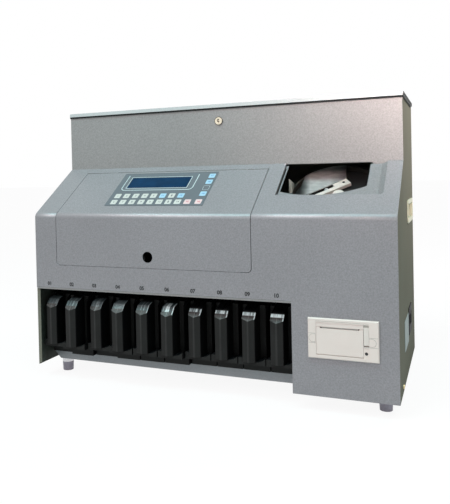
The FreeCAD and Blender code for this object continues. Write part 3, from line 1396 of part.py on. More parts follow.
def printer_door():
    """Paper door with a stepped top edge, hinge pins and cheeks for the platen."""
    body = stand(new_body("printer_door"))
    left, right = printer_x("field_left + printer_gap"), printer_x("lever_left - printer_gap")
    top = printer_z("paper_line - printer_gap")
    outline = [
        (left, PRINTER_AXIS_Z),
        (right, PRINTER_AXIS_Z),
        (right, top),
        (f"{right} - paper_notch_inset", top),
        (f"{right} - paper_notch_inset - paper_notch", f"{top} - paper_notch"),
        (f"{left} + paper_notch_inset + paper_notch", f"{top} - paper_notch"),
        (f"{left} + paper_notch_inset", top),
        (left, top),
    ]
    barrelled_flap(body, outline, PRINTER_AXIS_Z, "printer_door_gauge", (left, right))
    pin = (PRINTER_AXIS_Y, PRINTER_AXIS_Z, "printer_pin_radius")
    pin_reach = "(printer_gap + printer_pin_radius * 1.5)"
    pad(body, draw(body, "YZ_Plane", pin, level=f"{left} - {pin_reach}"),
        f"{right} - {left} + 2 * {pin_reach}")
    platen_z = f"{top} - platen_drop"
    back = f"({PRINTER_AXIS_Y} + printer_door_gauge / 2)"
    cheek = rectangle(back, f"{PRINTER_AXIS_Y} + platen_depth + platen_radius",
                      f"{platen_z} - platen_radius", f"{platen_z} + platen_radius")
    bore = (f"{PRINTER_AXIS_Y} + platen_depth", platen_z, "platen_shaft_radius + running_clearance")
    for level in (f"{left} + paper_notch_inset", f"{right} - paper_notch_inset - cheek_gauge"):
        pad(body, draw(body, "YZ_Plane", cheek, bore, level=level), "cheek_gauge")


def platen_roller():
    """Rubber platen on the printer door."""
    left, right = printer_x("field_left + printer_gap"), printer_x("lever_left - printer_gap")
    centre = (f"{PRINTER_AXIS_Y} + platen_depth", f"{printer_z('paper_line - printer_gap')} - platen_drop")
    inset = "(paper_notch_inset + cheek_gauge + side_clearance)"
    drum = rod("x", centre, "platen_radius", f"{left} + {inset}", f"{right} - {inset}")
    shaft = rod("x", centre, "platen_shaft_radius",
                f"{left} + paper_notch_inset", f"{right} - paper_notch_inset")
    keep(stand(fuse(drum, shaft)), "platen_roller")


def printer_lever():
    """Release lever beside the printer door."""
    body = stand(new_body("printer_lever"))
    left, right = printer_x("lever_left + printer_gap"), printer_x("field_right - printer_gap")
    outline = rectangle(left, right, LEVER_AXIS_Z, printer_z("field_high - lever_gap"))
    barrelled_flap(body, outline, LEVER_AXIS_Z, "lever_thickness", (left, right))
    pin = (PRINTER_AXIS_Y, LEVER_AXIS_Z, "printer_pin_radius")
    pad(body, draw(body, "YZ_Plane", pin, level=right), "printer_gap + printer_pin_radius * 1.5")


def feed_button():
    """Paper feed button in the bezel."""
    centre = (printer_x("(lever_left + field_right) / 2"), printer_z("button_height"))
    button = rod("y", centre, "button_radius", "-bezel_proud", "collar_depth - button_radius")
    keep(stand(group(button)), "feed_button")


def main_board():
    """Control board on spacers inside the rear panel, with its main components."""
    body = stand(new_body("main_board"))
    left, right = across("board_left"), across("board_left + board_width")
    low, high = "board_low", "board_low + board_height"
    front = f"({REAR_INNER} - standoff - board_gauge)"
    plane = draw(body, "XZ_Plane", rectangle(left, right, low, high), level=f"-{front}")
    pad(body, plane, "board_gauge", backwards=True)
    corners = [(f"{x} + ({dx}) * standoff", f"{z} + ({dz}) * standoff", "standoff_radius")
               for x, dx in ((left, 1), (right, -1)) for z, dz in ((low, 1), (high, -1))]
    pad(body, draw(body, "XZ_Plane", *corners, level=f"-{front} - board_gauge"), "standoff", backwards=True)
    chip = rectangle(f"{left} + standoff * 5", f"{left} + standoff * 8",
                     f"{low} + standoff * 5", f"{low} + standoff * 8")
    sockets = [rectangle(f"{left} + standoff * {step}", f"{left} + standoff * ({step} + 2)",
                         f"{high} - standoff * 1.5", f"{high} - standoff / 2") for step in (3, 7, 11, 15)]
    pad(body, draw(body, "XZ_Plane", chip, *sockets, level=f"-{front}"), "standoff / 2")


def power_supply():
    """Enclosed supply on the tray with vents in its lid."""
    body = stand(new_body("power_supply"))
    left, right = f"({BAY_RIGHT} + supply_margin)", f"({INNER} - supply_margin)"
    outline = rectangle(left, right, "supply_front", "supply_front + supply_length")
    pad(body, draw(body, "XY_Plane", outline, level="tray_top"), "supply_height")
    slot = rectangle(f"{left} + vent_pitch", f"{right} - vent_pitch", "supply_front + vent_pitch",
                     "supply_front + vent_pitch + vent_height")
    vent = pocket(body, draw(body, "XY_Plane", slot, level="tray_top + supply_height"), "vent_height")
    repeat(body, vent, "Y_Axis", "vent_pitch * (vent_count - 1)", "vent_count")


base_tray()
side_panel("left_side_panel", -1)
side_panel("right_side_panel", 1)
rear_panel()
hopper_front_panel()
front_cover()
window_guard()
feet()
keep(stand(group(side_handle(-1), side_handle(1))), "side_handles")
power_inlet()
power_rocker()
box_guides()
mechanism_deck()
keep(stand(group(*[divider(gap) for gap in range(1, int(d.box_count))])), "coin_dividers")
for number in range(1, int(d.box_count) + 1):
    coin_box(number)
front_door()
keep(lean(group(*[door_hinge_arm(place) for place in hinge_places()])), "door_hinge_arms")
keep(lean(group(*[door_hinge_bracket(place) for place in hinge_places()])), "door_hinge_brackets")
keypad_overlay()
display_board()
sorting_disc()
disc_ring()
disc_drive()
stripper_bar()
coin_hood()
sort_plate()
transport()
hopper_bin()
feed_belt()
belt_motors()
lid_lock()
hopper_lid()
lid_hinges()
printer_bezel()
printer_housing()
printer_door()
platen_roller()
printer_lever()
feed_button()
main_board()
power_supply()

doc.recompute()
for item in doc.Objects:
    if {"Invalid", "Error"} & set(item.State):
        raise RuntimeError(f"{item.Name} ({item.Label}) failed: {item.State}")
os.makedirs("parts", exist_ok=True)
for piece in SUB_PARTS:
    if piece.Shape.isNull() or not piece.Shape.isValid():
        raise RuntimeError(f"{piece.Label} has no valid shape")
for piece in SUB_PARTS:
    piece.Shape.exportStep(f"parts/{piece.Label}.step")
    print(piece.Label, len(piece.Shape.Solids), round(piece.Shape.Volume))
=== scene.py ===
"""Coin sorting machine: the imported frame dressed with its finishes, prints and small fittings."""
import math

import bpy
from mathutils import Matrix, Vector


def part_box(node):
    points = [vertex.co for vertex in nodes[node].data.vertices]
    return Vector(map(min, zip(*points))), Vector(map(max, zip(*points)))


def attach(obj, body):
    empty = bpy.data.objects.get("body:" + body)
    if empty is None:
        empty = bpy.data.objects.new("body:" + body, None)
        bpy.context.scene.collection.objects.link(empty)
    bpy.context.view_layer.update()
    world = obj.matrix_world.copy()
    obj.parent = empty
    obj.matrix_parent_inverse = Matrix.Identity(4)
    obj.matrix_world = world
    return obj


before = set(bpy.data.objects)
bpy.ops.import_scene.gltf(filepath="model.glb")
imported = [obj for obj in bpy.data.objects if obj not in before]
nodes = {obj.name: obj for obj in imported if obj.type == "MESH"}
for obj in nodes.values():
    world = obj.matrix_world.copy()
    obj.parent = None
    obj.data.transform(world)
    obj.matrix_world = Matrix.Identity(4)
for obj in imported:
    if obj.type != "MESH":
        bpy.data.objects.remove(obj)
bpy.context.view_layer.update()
scene = bpy.context.scene
scene.view_settings.view_transform = "Standard"
bpy.ops.object.select_all(action="DESELECT")

# The camera stands where the photograph was taken: a little right of the machine and level with its
# slope. Its place, turn and lens were fitted to the casing's corners, and the shift carries the lens
# axis to where it falls in the 450 by 504 picture.
PHOTO_SIZE = (450, 504)
FOCAL_PIXELS = 627.5
LENS_AXIS_PIXEL = (190.0, 188.3)
SENSOR_WIDTH = 36
EYE = Vector((0.4208, -1.1790, 0.3822))
PITCH, ROLL, YAW = 0.017, -0.022, -0.403

camera_data = bpy.data.cameras.new("photo_camera")
camera = bpy.data.objects.new("photo_camera", camera_data)
scene.collection.objects.link(camera)
scene.camera = camera
long_side = max(PHOTO_SIZE)
camera_data.sensor_width = SENSOR_WIDTH
camera_data.lens = FOCAL_PIXELS * SENSOR_WIDTH / long_side
camera_data.shift_x = (PHOTO_SIZE[0] / 2 - LENS_AXIS_PIXEL[0]) / long_side
camera_data.shift_y = (LENS_AXIS_PIXEL[1] - PHOTO_SIZE[1] / 2) / long_side
level_view = Matrix(((1, 0, 0), (0, 0, -1), (0, 1, 0)))
lens_turn = Matrix.Rotation(ROLL, 3, "Z") @ Matrix.Rotation(PITCH, 3, "X")
to_picture = lens_turn @ level_view @ Matrix.Rotation(YAW, 3, "Z")
to_lens = Matrix(((1, 0, 0), (0, -1, 0), (0, 0, -1))) @ to_picture
camera.matrix_world = Matrix.Translation(EYE) @ to_lens.transposed().to_4x4()

# A pale floor without end and an even studio: soft light from the upper left front, a long panel over
# the slope, two small fills and a dim sky all round. Floor and sky read as white to the lens and in
# mirrors, and the floor keeps a share of the machine's shadow.
FLOOR_SIZE = 60
FLOOR_WHITE = (0.7, 0.7, 0.7, 1)
FLOOR_GLOW = 0.88
GLOW_STRENGTH = 1.04
SKY_LIGHT = (0.93, 0.96, 1.0, 1)
SKY_STRENGTH = 0.40
SKY_WHITE = (1, 1, 1, 1)


def add_node(tree, kind, settings=None, **inputs):
    """A shader node with its settings and plain input values."""
    node = tree.nodes.new(f"ShaderNode{kind}")
    for setting, value in (settings or {}).items():
        setattr(node, setting, value)
    for socket, value in inputs.items():
        node.inputs[socket.replace("_", " ")].default_value = value
    return node


def arithmetic(tree, operation, first, second=0.0):
    """A value worked out from two others, each a socket or a plain number."""
    node = add_node(tree, "Math", {"operation": operation})
    for socket, value in zip(node.inputs, (first, second)):
        if isinstance(value, (int, float)):
            socket.default_value = value
        else:
            tree.links.new(value, socket)
    return node.outputs["Value"]


def new_material(name, **plain):
    """A material with a Principled shader and its plain socket values."""
    material = bpy.data.materials.new(name)
    material.use_nodes = True
    shader = material.node_tree.nodes["Principled BSDF"]
    for socket, value in plain.items():
        shader.inputs[socket.replace("_", " ")].default_value = value
    return material, shader


def seen_directly(tree):
    """One for rays from the lens, off a mirror or through glass, and nought for those that only light."""
    ray = add_node(tree, "LightPath").outputs
    either = arithmetic(tree, "MAXIMUM", ray["Is Camera Ray"], ray["Is Glossy Ray"])
    return arithmetic(tree, "MAXIMUM", either, ray["Is Transmission Ray"])


def mix_shaders(tree, share, plain, bright, output):
    """Passes from a plain shader to a bright one on the way to a tree's output."""
    mix = add_node(tree, "MixShader")
    for socket, source in zip(mix.inputs, (share, plain, bright)):
        tree.links.new(source, socket)
    tree.links.new(mix.outputs["Shader"], tree.nodes[output].inputs["Surface"])


def add_light(name, kind, strength, colour, aim, **settings):
    """A studio light that shines from one point towards another."""
    data = bpy.data.lights.new(name, kind)
    data.energy = strength
    data.color = colour
    for setting, value in settings.items():
        setattr(data, setting, value)
    light = bpy.data.objects.new(name, data)
    scene.collection.objects.link(light)
    start, target = Vector(aim[0]), Vector(aim[1])
    turn = (target - start).to_track_quat("-Z", "Y").to_matrix().to_4x4()
    light.matrix_world = Matrix.Translation(start) @ turn


bpy.ops.mesh.primitive_plane_add(size=FLOOR_SIZE)
floor = bpy.context.object
floor.name = "studio_floor"
floor_paint, floor_shader = new_material(
    "studio_floor_white", Base_Color=FLOOR_WHITE, Roughness=0.9, Specular_IOR_Level=0.1)
floor_tree = floor_paint.node_tree
floor_glow = add_node(floor_tree, "Emission", Strength=GLOW_STRENGTH)
floor_share = arithmetic(floor_tree, "MULTIPLY", seen_directly(floor_tree), FLOOR_GLOW)
mix_shaders(floor_tree, floor_share, floor_shader.outputs["BSDF"], floor_glow.outputs["Emission"],
            "Material Output")
floor.data.materials.append(floor_paint)

sky = bpy.data.worlds.new("studio_sky")
scene.world = sky
sky.use_nodes = True
sky_tree = sky.node_tree
sky_background = sky_tree.nodes["Background"]
sky_background.inputs["Color"].default_value = SKY_LIGHT
sky_background.inputs["Strength"].default_value = SKY_STRENGTH
white_background = add_node(sky_tree, "Background", Color=SKY_WHITE)
mix_shaders(sky_tree, seen_directly(sky_tree), sky_background.outputs["Background"],
            white_background.outputs["Background"], "World Output")

add_light("upper_left_light", "SUN", 1.42, (1.0, 0.915, 0.925), ((-1.2, -1.9, 2.3), (0, 0, 0.2)), angle=0.6)
add_light("slope_panel", "AREA", 25, (0.56, 1.0, 1.0), ((0.0, -0.72, 1.9), (0.02, -0.15, 0.3)),
          shape="RECTANGLE", size=2.4, size_y=0.6)
add_light("tower_glow", "AREA", 1.7, (1.0, 0.76, 0.72), ((0.84, -1.6, 1.1), (0.50, -0.04, 0.62)),
          shape="RECTANGLE", size=0.6, size_y=0.2, spread=0.4)
add_light("right_fill", "AREA", 1.3, (1.0, 0.99, 0.93), ((0.80, 0.45, 0.95), (0.336, 0.05, 0.46)),
          shape="DISK", size=0.3, spread=1.6)

# The casing is folded steel sheet with a fine powder coat: a speckled silver grey whose grain is felt
# as well as seen. One coat covers the bent front, the door, the tower, the sides, lid and tray, and
# the cut edges are broken by a hair. Its tones differ by painted light and shade: the sides and rear
# are darker as painted shade, the lid paler as painted light, and the left side's inner face darkest
# as painted shade.
FRONT_GREY = (0.256, 0.247, 0.260)
SIDE_SHADED_GREY = (0.180, 0.175, 0.142)
TOWER_GREY = (0.274, 0.269, 0.266)
PAN_SHADED_GREY = (0.222, 0.222, 0.230)
LID_LIT_GREY = (0.50, 0.53, 0.53)
TRAY_GREY = (0.262, 0.270, 0.283)
INSIDE_SHADE = (0.045, 0.050, 0.042)
SPECKLE, FINE_SPECKLE = 0.13, 0.06
BEND_GLOSS = {"Coat_Weight": 0.16, "Coat_Roughness": 0.14, "Coat_IOR": 1.8}
BEND_LOW, BEND_TOP = 0.03, 0.82
BEND_FACING = -0.56
SHEET_EDGE = 0.0004
NOISE_SPAN = (0.3, 0.7)
GRAIN_SPAN = (0.35, 0.65)
FINISH_OUTPUTS = {"Colour": "Color", "Roughness": "Float", "Height": "Float"}


def new_group(name, **inputs):
    """An empty finish group: its tree, its inputs' sockets and its output node."""
    group = bpy.data.node_groups.new(name, "ShaderNodeTree")
    for direction, sockets in (("INPUT", inputs), ("OUTPUT", FINISH_OUTPUTS)):
        for socket, kind in sockets.items():
            group.interface.new_socket(name=socket, in_out=direction, socket_type=f"NodeSocket{kind}")
    return group, group.nodes.new("NodeGroupInput").outputs, group.nodes.new("NodeGroupOutput")


def close_group(group, output, colour, roughness, height):
    """Links a finish group's results to its output node."""
    for socket, result in zip(FINISH_OUTPUTS, (colour, roughness, height)):
        group.links.new(result, output.inputs[socket])


def add_noise(tree, scale, detail=2.0, roughness=0.5, stretch=None):
    """Noise on the piece's own coordinates, stretched along an axis where a scale for each is given."""
    source = add_node(tree, "TexCoord").outputs["Object"]
    if stretch:
        mapping = add_node(tree, "Mapping", Scale=stretch)
        tree.links.new(source, mapping.inputs["Vector"])
        source = mapping.outputs["Vector"]
    noise = add_node(tree, "TexNoise", Scale=scale, Detail=detail, Roughness=roughness)
    tree.links.new(source, noise.inputs["Vector"])
    return noise.outputs["Fac"]


def spread(tree, value, low, high, out_low, out_high):
    """Carries a range of values onto another."""
    remap = add_node(tree, "MapRange", From_Min=low, From_Max=high, To_Min=out_low, To_Max=out_high)
    tree.links.new(value, remap.inputs["Value"])
    return remap.outputs["Result"]


def shade(tree, colour, amount):
    """A colour, linked or plain, made lighter or darker by a factor that varies over the surface."""
    scale = add_node(tree, "VectorMath", {"operation": "SCALE"})
    if isinstance(colour, tuple):
        scale.inputs[0].default_value = colour
    else:
        tree.links.new(colour, scale.inputs[0])
    tree.links.new(amount, scale.inputs["Scale"])
    return scale.outputs["Vector"]


def multiply(tree, first, second):
    """The product of two values, each a socket or a plain number."""
    return arithmetic(tree, "MULTIPLY", first, second)


def one_plus(tree, value, amount):
    """One plus a value times an amount."""
    return arithmetic(tree, "ADD", multiply(tree, value, amount), 1)


powder_coat, coat_in, coat_out = new_group("powder_coat", Colour="Color", Speckle="Float")
grain = add_noise(powder_coat, 420, detail=3, roughness=0.75)
cloud = spread(powder_coat, add_noise(powder_coat, 7, detail=3), *NOISE_SPAN, 0.97, 1.03)
speckles = one_plus(powder_coat, spread(powder_coat, grain, *GRAIN_SPAN, -1, 1), coat_in["Speckle"])
coat_colour = shade(powder_coat, coat_in["Colour"], multiply(powder_coat, speckles, cloud))
close_group(powder_coat, coat_out, coat_colour, spread(powder_coat, grain, *GRAIN_SPAN, 0.50, 0.34), grain)


def finish_with(name, group, values, bump=None, **plain):
    """A material whose colour, roughness and bump come from a finish group."""
    material, shader = new_material(name, **plain)
    tree = material.node_tree
    finish = tree.nodes.new("ShaderNodeGroup")
    finish.node_tree = group
    for socket, value in values.items():
        finish.inputs[socket].default_value = (*value, 1) if isinstance(value, tuple) else value
    tree.links.new(finish.outputs["Colour"], shader.inputs["Base Color"])
    tree.links.new(finish.outputs["Roughness"], shader.inputs["Roughness"])
    if bump:
        strength, depth = bump
        relief = add_node(tree, "Bump", Strength=strength, Distance=depth)
        tree.links.new(finish.outputs["Height"], relief.inputs["Height"])
        tree.links.new(relief.outputs["Normal"], shader.inputs["Normal"])
    return material


def powder(name, colour, speckle, metallic=0.35, specular=0.4, **plain):
    """A powder coat over steel."""
    return finish_with(name, powder_coat, {"Colour": colour, "Speckle": speckle}, bump=(0.35, 0.0003),
                       Metallic=metallic, Specular_IOR_Level=specular, **plain)


def coat(material, *names):
    """Gives CAD nodes a finish."""
    for name in names:
        nodes[name].data.materials.clear()
        nodes[name].data.materials.append(material)


def repaint(name, material, rule):
    """Gives the faces of a CAD node that a rule picks out a second finish."""
    mesh = nodes[name].data
    mesh.materials.append(material)
    for face in mesh.polygons:
        face.material_index = 1 if rule(face) else 0


def soften(width, *names, segments=2):
    """Breaks the sharp edges of CAD nodes by a small bevel."""
    for name in names:
        joined = nodes[name].modifiers.new("joined_faces", "WELD")
        joined.merge_threshold = 0.00001
        edge = nodes[name].modifiers.new("broken_edges", "BEVEL")
        edge.width = width
        edge.segments = segments
        edge.limit_method = "ANGLE"
        edge.angle_limit = math.radians(40)
        edge.use_clamp_overlap = True
        edge.harden_normals = True


coat(powder("front_powder_coat", FRONT_GREY, SPECKLE), "front_cover", "front_door")
# The window's pan takes a darker coat as painted shade of its recess.
coat(powder("pan_powder_coat_painted_shade", PAN_SHADED_GREY, SPECKLE), "window_guard")
bend_coat = powder("bend_powder_coat", FRONT_GREY, 0.08, **BEND_GLOSS)
for name in ("front_cover", "front_door"):
    repaint(name, bend_coat,
            lambda face: BEND_LOW < face.normal.z < BEND_TOP and face.normal.y < BEND_FACING)
tower_coat = powder("tower_powder_coat", TOWER_GREY, SPECKLE)
coat(tower_coat, "hopper_front_panel")
# The lid's coat is paler than the rest as painted light.
coat(powder("lid_powder_coat_painted_light", LID_LIT_GREY, FINE_SPECKLE), "hopper_lid")
# The sides and rear take a darker coat as painted shade.
side_shaded_coat = powder("side_powder_coat_painted_shade", SIDE_SHADED_GREY, FINE_SPECKLE, metallic=0.0, specular=0.0)
coat(side_shaded_coat, "left_side_panel", "right_side_panel", "rear_panel")
coat(powder("tray_powder_coat", TRAY_GREY, FINE_SPECKLE), "base_tray")
# The left side's inner face takes a darker coat still as painted shade.
inside_shade_coat = powder("inside_painted_shade", INSIDE_SHADE, 0.05, metallic=0.0, specular=0.1)
repaint("left_side_panel", inside_shade_coat, lambda face: face.normal.x > 0.5)
soften(SHEET_EDGE, "front_cover", "front_door", "hopper_front_panel", "hopper_lid", "left_side_panel",
       "right_side_panel", "rear_panel", "base_tray")

# The number above each coin box is printed on the front cover in black ink, a little above the bay's
# upper edge and beside the middle of the box.
INK_BLACK = (0.010, 0.0105, 0.012)
NUMBER_HEIGHT = 0.0064
NUMBER_WEIGHT = 0.00044
NUMBER_ABOVE_BOX = 0.0222
NUMBER_ACROSS_BOX = 0.0234
INK_DEPTH = 0.00004
FIGURE_SHARE = 0.7

moulding, moulding_in, moulding_out = new_group(
    "moulded_surface", Colour="Color", Roughness="Float", Mottle="Float")
patches = spread(moulding, add_noise(moulding, 24, detail=4, roughness=0.6), *NOISE_SPAN, -1, 1)
patch_tone = one_plus(moulding, patches, moulding_in["Mottle"])
patch_gloss = multiply(moulding, moulding_in["Roughness"], spread(moulding, patches, -1, 1, 0.88, 1.12))
close_group(moulding, moulding_out, shade(moulding, moulding_in["Colour"], patch_tone), patch_gloss,
            add_noise(moulding, 1500, detail=2))


def mould(name, colour, roughness, mottle=0.04, bump=(0.12, 0.0001), **plain):
    """A moulded or printed surface: a little mottled in tone and gloss, with fine pores."""
    values = {"Colour": colour, "Roughness": roughness, "Mottle": mottle}
    return finish_with(name, moulding, values, bump, **plain)


def seat(piece, material, body, place):
    """Puts a finished piece in its place, paints it and lets it ride on its body."""
    piece.data.transform(place)
    piece.data.materials.clear()
    piece.data.materials.append(material)
    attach(piece, body)


def lettering(name, words, height, weight):
    """Printed characters as a thin mesh, centred on the origin and read from above."""
    bpy.ops.object.select_all(action="DESELECT")
    bpy.ops.object.text_add()
    text = bpy.context.object
    text.name = name
    text.data.body = words
    text.data.size = height / FIGURE_SHARE
    text.data.align_x = "CENTER"
    text.data.align_y = "CENTER"
    text.data.resolution_u = 4
    text.data.extrude = INK_DEPTH
    text.data.offset = weight
    bpy.ops.object.convert(target="MESH")
    return text


facing_front = Matrix.Rotation(math.radians(90), 4, "X")
black_ink = mould("black_print", INK_BLACK, 0.55)
cover_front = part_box("front_cover")[0].y
for number in range(1, 11):
    box_low, box_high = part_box(f"coin_box_{number:02d}")
    spot = Vector((box_low.x + NUMBER_ACROSS_BOX, cover_front, box_high.z + NUMBER_ABOVE_BOX))
    printed = lettering(f"box_number_{number:02d}", f"{number:02d}", NUMBER_HEIGHT, NUMBER_WEIGHT)
    seat(printed, black_ink, "cabinet", Matrix.Translation(spot) @ facing_front)

# The bay's upper edge is stiffened by a folded strip that shows below the cover, with a fine joint above
# it. The strip is spot welded behind the cover and has the same coat.
LIP_LOW, LIP_HIGH = -2.1, 0.8
LIP_PROUD, LIP_WALL = 0.3, 1.4
LIP_PLAY, LIP_ROUND = 0.4, 0.2
LIP_JOINT, LIP_JOINT_PROUD = 0.55, 0.08
JOINT_ROUND = (0.1, 0.02)
LIP_GREY = (0.250, 0.240, 0.238)
LIP_SHADOW = (0.085, 0.080, 0.078)
BAY_CEILING = 0.2
MM = 0.001


def open_piece(name):
    """Names the primitive just made and opens it in edit mode."""
    piece = bpy.context.object
    piece.name = name
    bpy.ops.object.mode_set(mode="EDIT")
    return piece


def start_plate(name, width, length):
    """A flat plate, in millimetres, open in edit mode."""
    bpy.ops.object.select_all(action="DESELECT")
    bpy.ops.mesh.primitive_plane_add(size=1)
    plate = open_piece(name)
    bpy.ops.transform.resize(value=(width * MM, length * MM, 1))
    return plate


def extrude(across, along, up):
    """Draws the selection out by a shift in millimetres."""
    bpy.ops.mesh.extrude_region_move(TRANSFORM_OT_translate={"value": (across * MM, along * MM, up * MM)})


def close_piece():
    """Turns the faces of the open piece outwards and leaves edit mode."""
    bpy.ops.mesh.select_all(action="SELECT")
    bpy.ops.mesh.normals_make_consistent(inside=False)
    bpy.ops.object.mode_set(mode="OBJECT")


def rounded_tile(name, width, length, thickness, corner, rim):
    """A thin tile with round corners and a softened upper rim, in millimetres, lying on the zero plane."""
    tile = start_plate(name, width, length)
    bpy.ops.mesh.bevel(offset=corner * MM, segments=4, affect="VERTICES")
    extrude(0, 0, thickness)
    bpy.ops.mesh.bevel(offset=rim * MM, segments=2)
    close_piece()
    return tile


cover = nodes["front_cover"].data
under_faces = [face for face in cover.polygons if face.normal.z < -0.9 and face.center.z < BAY_CEILING]
bay_edge = max(under_faces, key=lambda face: face.area)
bay_corners = [cover.vertices[index].co for index in bay_edge.vertices]
bay_left, bay_right = min(spot.x for spot in bay_corners), max(spot.x for spot in bay_corners)
bay_level = bay_edge.center.z
lip_length = (bay_right - bay_left) / MM - LIP_PLAY
bay_middle = (bay_left + bay_right) / 2
lip = rounded_tile("bay_lip", lip_length, LIP_HIGH - LIP_LOW, LIP_WALL, LIP_ROUND, LIP_ROUND)
lip_level = bay_level + (LIP_LOW + LIP_HIGH) / 2 * MM
lip_spot = Vector((bay_middle, cover_front + (LIP_WALL - LIP_PROUD) * MM, lip_level))
seat(lip, powder("lip_powder_coat", LIP_GREY, 0.08), "cabinet",
     Matrix.Translation(lip_spot) @ facing_front)
lip_joint = rounded_tile("bay_lip_joint", lip_length, LIP_JOINT, LIP_JOINT_PROUD, *JOINT_ROUND)
joint_spot = Vector((bay_middle, cover_front, bay_level + (LIP_HIGH + LIP_JOINT / 2) * MM))
seat(lip_joint, mould("lip_joint_shadow", LIP_SHADOW, 0.6), "cabinet",
     Matrix.Translation(joint_spot) @ facing_front)

# The keypad film is a printed polyester sheet glued to the door's slope, with a clear window over the
# screen. A pale line runs round the screen on three sides and a bright frame edges the window. A dark
# strip along the film's top edge is painted shadow.
FILM_GREY = (0.108, 0.124, 0.141)
LINE_GREY = (0.60, 0.67, 0.68)
WINDOW_GREY = (0.58, 0.66, 0.68)
FILM_EDGE_SHADOW = (0.035, 0.042, 0.046)
SCREEN_LINE, SCREEN_LINE_AT = (151, 64, 1.4, 9, 0.06), (87.5, 81)
SCREEN_LINE_TOP = 19
WINDOW_EDGE, WINDOW_EDGE_AT = (130, 38.5, 1.0, 1.5, 0.1), (86, 74.75)
TOP_EDGE, TOP_EDGE_AT = (199, 0.9, 0.08, 0.3, 0.02), (100, 106.4)
RIGHTWARD, BACKWARD, UPWARD = Matrix.Identity(3)

coat(mould("keypad_film", FILM_GREY, 0.42, Specular_IOR_Level=0.4), "keypad_overlay")
film_faces = [face for face in nodes["keypad_overlay"].data.polygons if face.normal.z > 0.5]
film_normal = max(film_faces, key=lambda face: face.area).normal.copy()
up_slope = Vector((0, film_normal.z, -film_normal.y))
slope_axes = Matrix((RIGHTWARD, up_slope, film_normal)).transposed().to_4x4()


def reach(name, direction):
    """How far a CAD node reaches along a direction: its least and its greatest."""
    along = [vertex.co.dot(direction) for vertex in nodes[name].data.vertices]
    return min(along), max(along)


def slope_corner(name, side):
    """The lower left (0) or upper right (1) corner of a CAD node on the slope, at its upper face."""
    across, along, above = (reach(name, axis) for axis in (RIGHTWARD, up_slope, film_normal))
    return RIGHTWARD * across[side] + up_slope * along[side] + film_normal * above[1]


def on_slope(corner, across, along, above):
    """A place on the slope, in millimetres from a corner."""
    return Matrix.Translation(corner) @ slope_axes @ Matrix.Translation(Vector((across, along, above)) * MM)


film_corner = slope_corner("keypad_overlay", 0)


def on_film(across, along, above=0.0):
    """A place on the film, in millimetres from the film's lower left corner."""
    return on_slope(film_corner, across, along, above)


def rounded_frame(name, width, length, band, corner, thickness):
    """A flat band round an open rectangle with round corners, in millimetres."""
    frame_band = start_plate(name, width, length)
    bpy.ops.mesh.bevel(offset=corner * MM, segments=5, affect="VERTICES")
    bpy.ops.mesh.inset(thickness=band * MM)
    bpy.ops.mesh.delete(type="FACE")
    bpy.ops.mesh.select_all(action="SELECT")
    extrude(0, 0, thickness)
    close_piece()
    return frame_band


def cut_off(piece, point, normal):
    """Cuts off what lies past a plane and closes the cut."""
    bpy.context.view_layer.objects.active = piece
    bpy.ops.object.mode_set(mode="EDIT")
    bpy.ops.mesh.select_all(action="SELECT")
    bpy.ops.mesh.bisect(plane_co=point, plane_no=normal, clear_outer=True, use_fill=True)
    close_piece()


line_print = mould("pale_line_print", LINE_GREY, 0.45)
screen_line = rounded_frame("screen_line", *SCREEN_LINE)
cut_off(screen_line, BACKWARD * SCREEN_LINE_TOP * MM, BACKWARD)
seat(screen_line, line_print, "door", on_film(*SCREEN_LINE_AT))
window_edge = rounded_frame("screen_window_edge", *WINDOW_EDGE)
window_print = mould("window_edge_print", WINDOW_GREY, 0.35)
seat(window_edge, window_print, "door", on_film(*WINDOW_EDGE_AT))
# The dark strip along the film's top edge is painted shadow.
top_edge = rounded_tile("film_top_edge", *TOP_EDGE)
edge_shadow = mould("film_edge_painted_shadow", FILM_EDGE_SHADOW, 0.5)
seat(top_edge, edge_shadow, "door", on_film(*TOP_EDGE_AT))

# The screen is a blue liquid crystal panel on a green board behind the door. Its glass fills the film's
# window and is barely lit.
SCREEN_BLUE = (0.0042, 0.031, 0.078)
BOARD_GREEN = (0.015, 0.095, 0.045)
GLASS_DEPTH = 0.004

coat(mould("display_board_green", BOARD_GREEN, 0.4, mottle=0.15), "display_board")
glass_finish = mould("screen_glass", SCREEN_BLUE, 0.3, mottle=0.25, bump=None, Specular_IOR_Level=0.03)
glass_level = reach("display_board", film_normal)[1] - GLASS_DEPTH
repaint("display_board", glass_finish, lambda face: face.center.dot(film_normal) > glass_level)

# The keys are printed pads in the film with a slight dome: off-white for the figures, light blue for
# the functions and pink for stop and clear. They give way under a finger and don't travel.
KEY_SIZE = (12.3, 13.6)
KEY_CORNER = 1.4
KEY_WHITE = (0.565, 0.55, 0.515)
KEY_BLUE = (0.34, 0.53, 0.66)
KEY_PINK = (0.72, 0.52, 0.52)
KEY_COLUMNS = (16, 35, 54.5, 73.7, 92.2, 111, 129.5, 148, 167.2, 188.8)
LOW_ROW, HIGH_ROW = 11, 30.5
SIDE_COLUMN = 190
SIDE_ROWS = (93.7, 73.7, 35.6)
BARE_KEY_ROW = 54.6
PAD_HEIGHT, PAD_RIM = 0.3, 0.15
BARE_KEY_BAND, BARE_KEY_DEPTH = 0.5, 0.06

white_pad = mould("white_key_print", KEY_WHITE, 0.4)
blue_pad = mould("blue_key_print", KEY_BLUE, 0.4)
pink_pad = mould("pink_key_print", KEY_PINK, 0.4)
key_tones = [white_pad] * 5 + [blue_pad, white_pad, blue_pad]
low_tones = [white_pad] * 8 + [pink_pad] * 2
key_spots = [(across, HIGH_ROW, tone) for across, tone in zip(KEY_COLUMNS, key_tones)]
key_spots += [(across, LOW_ROW, tone) for across, tone in zip(KEY_COLUMNS, low_tones)]
key_spots += [(SIDE_COLUMN, along, blue_pad) for along in SIDE_ROWS]


def copy_of(piece, name):
    """A copy with its own mesh."""
    twin = bpy.data.objects.new(name, piece.data.copy())
    scene.collection.objects.link(twin)
    return twin


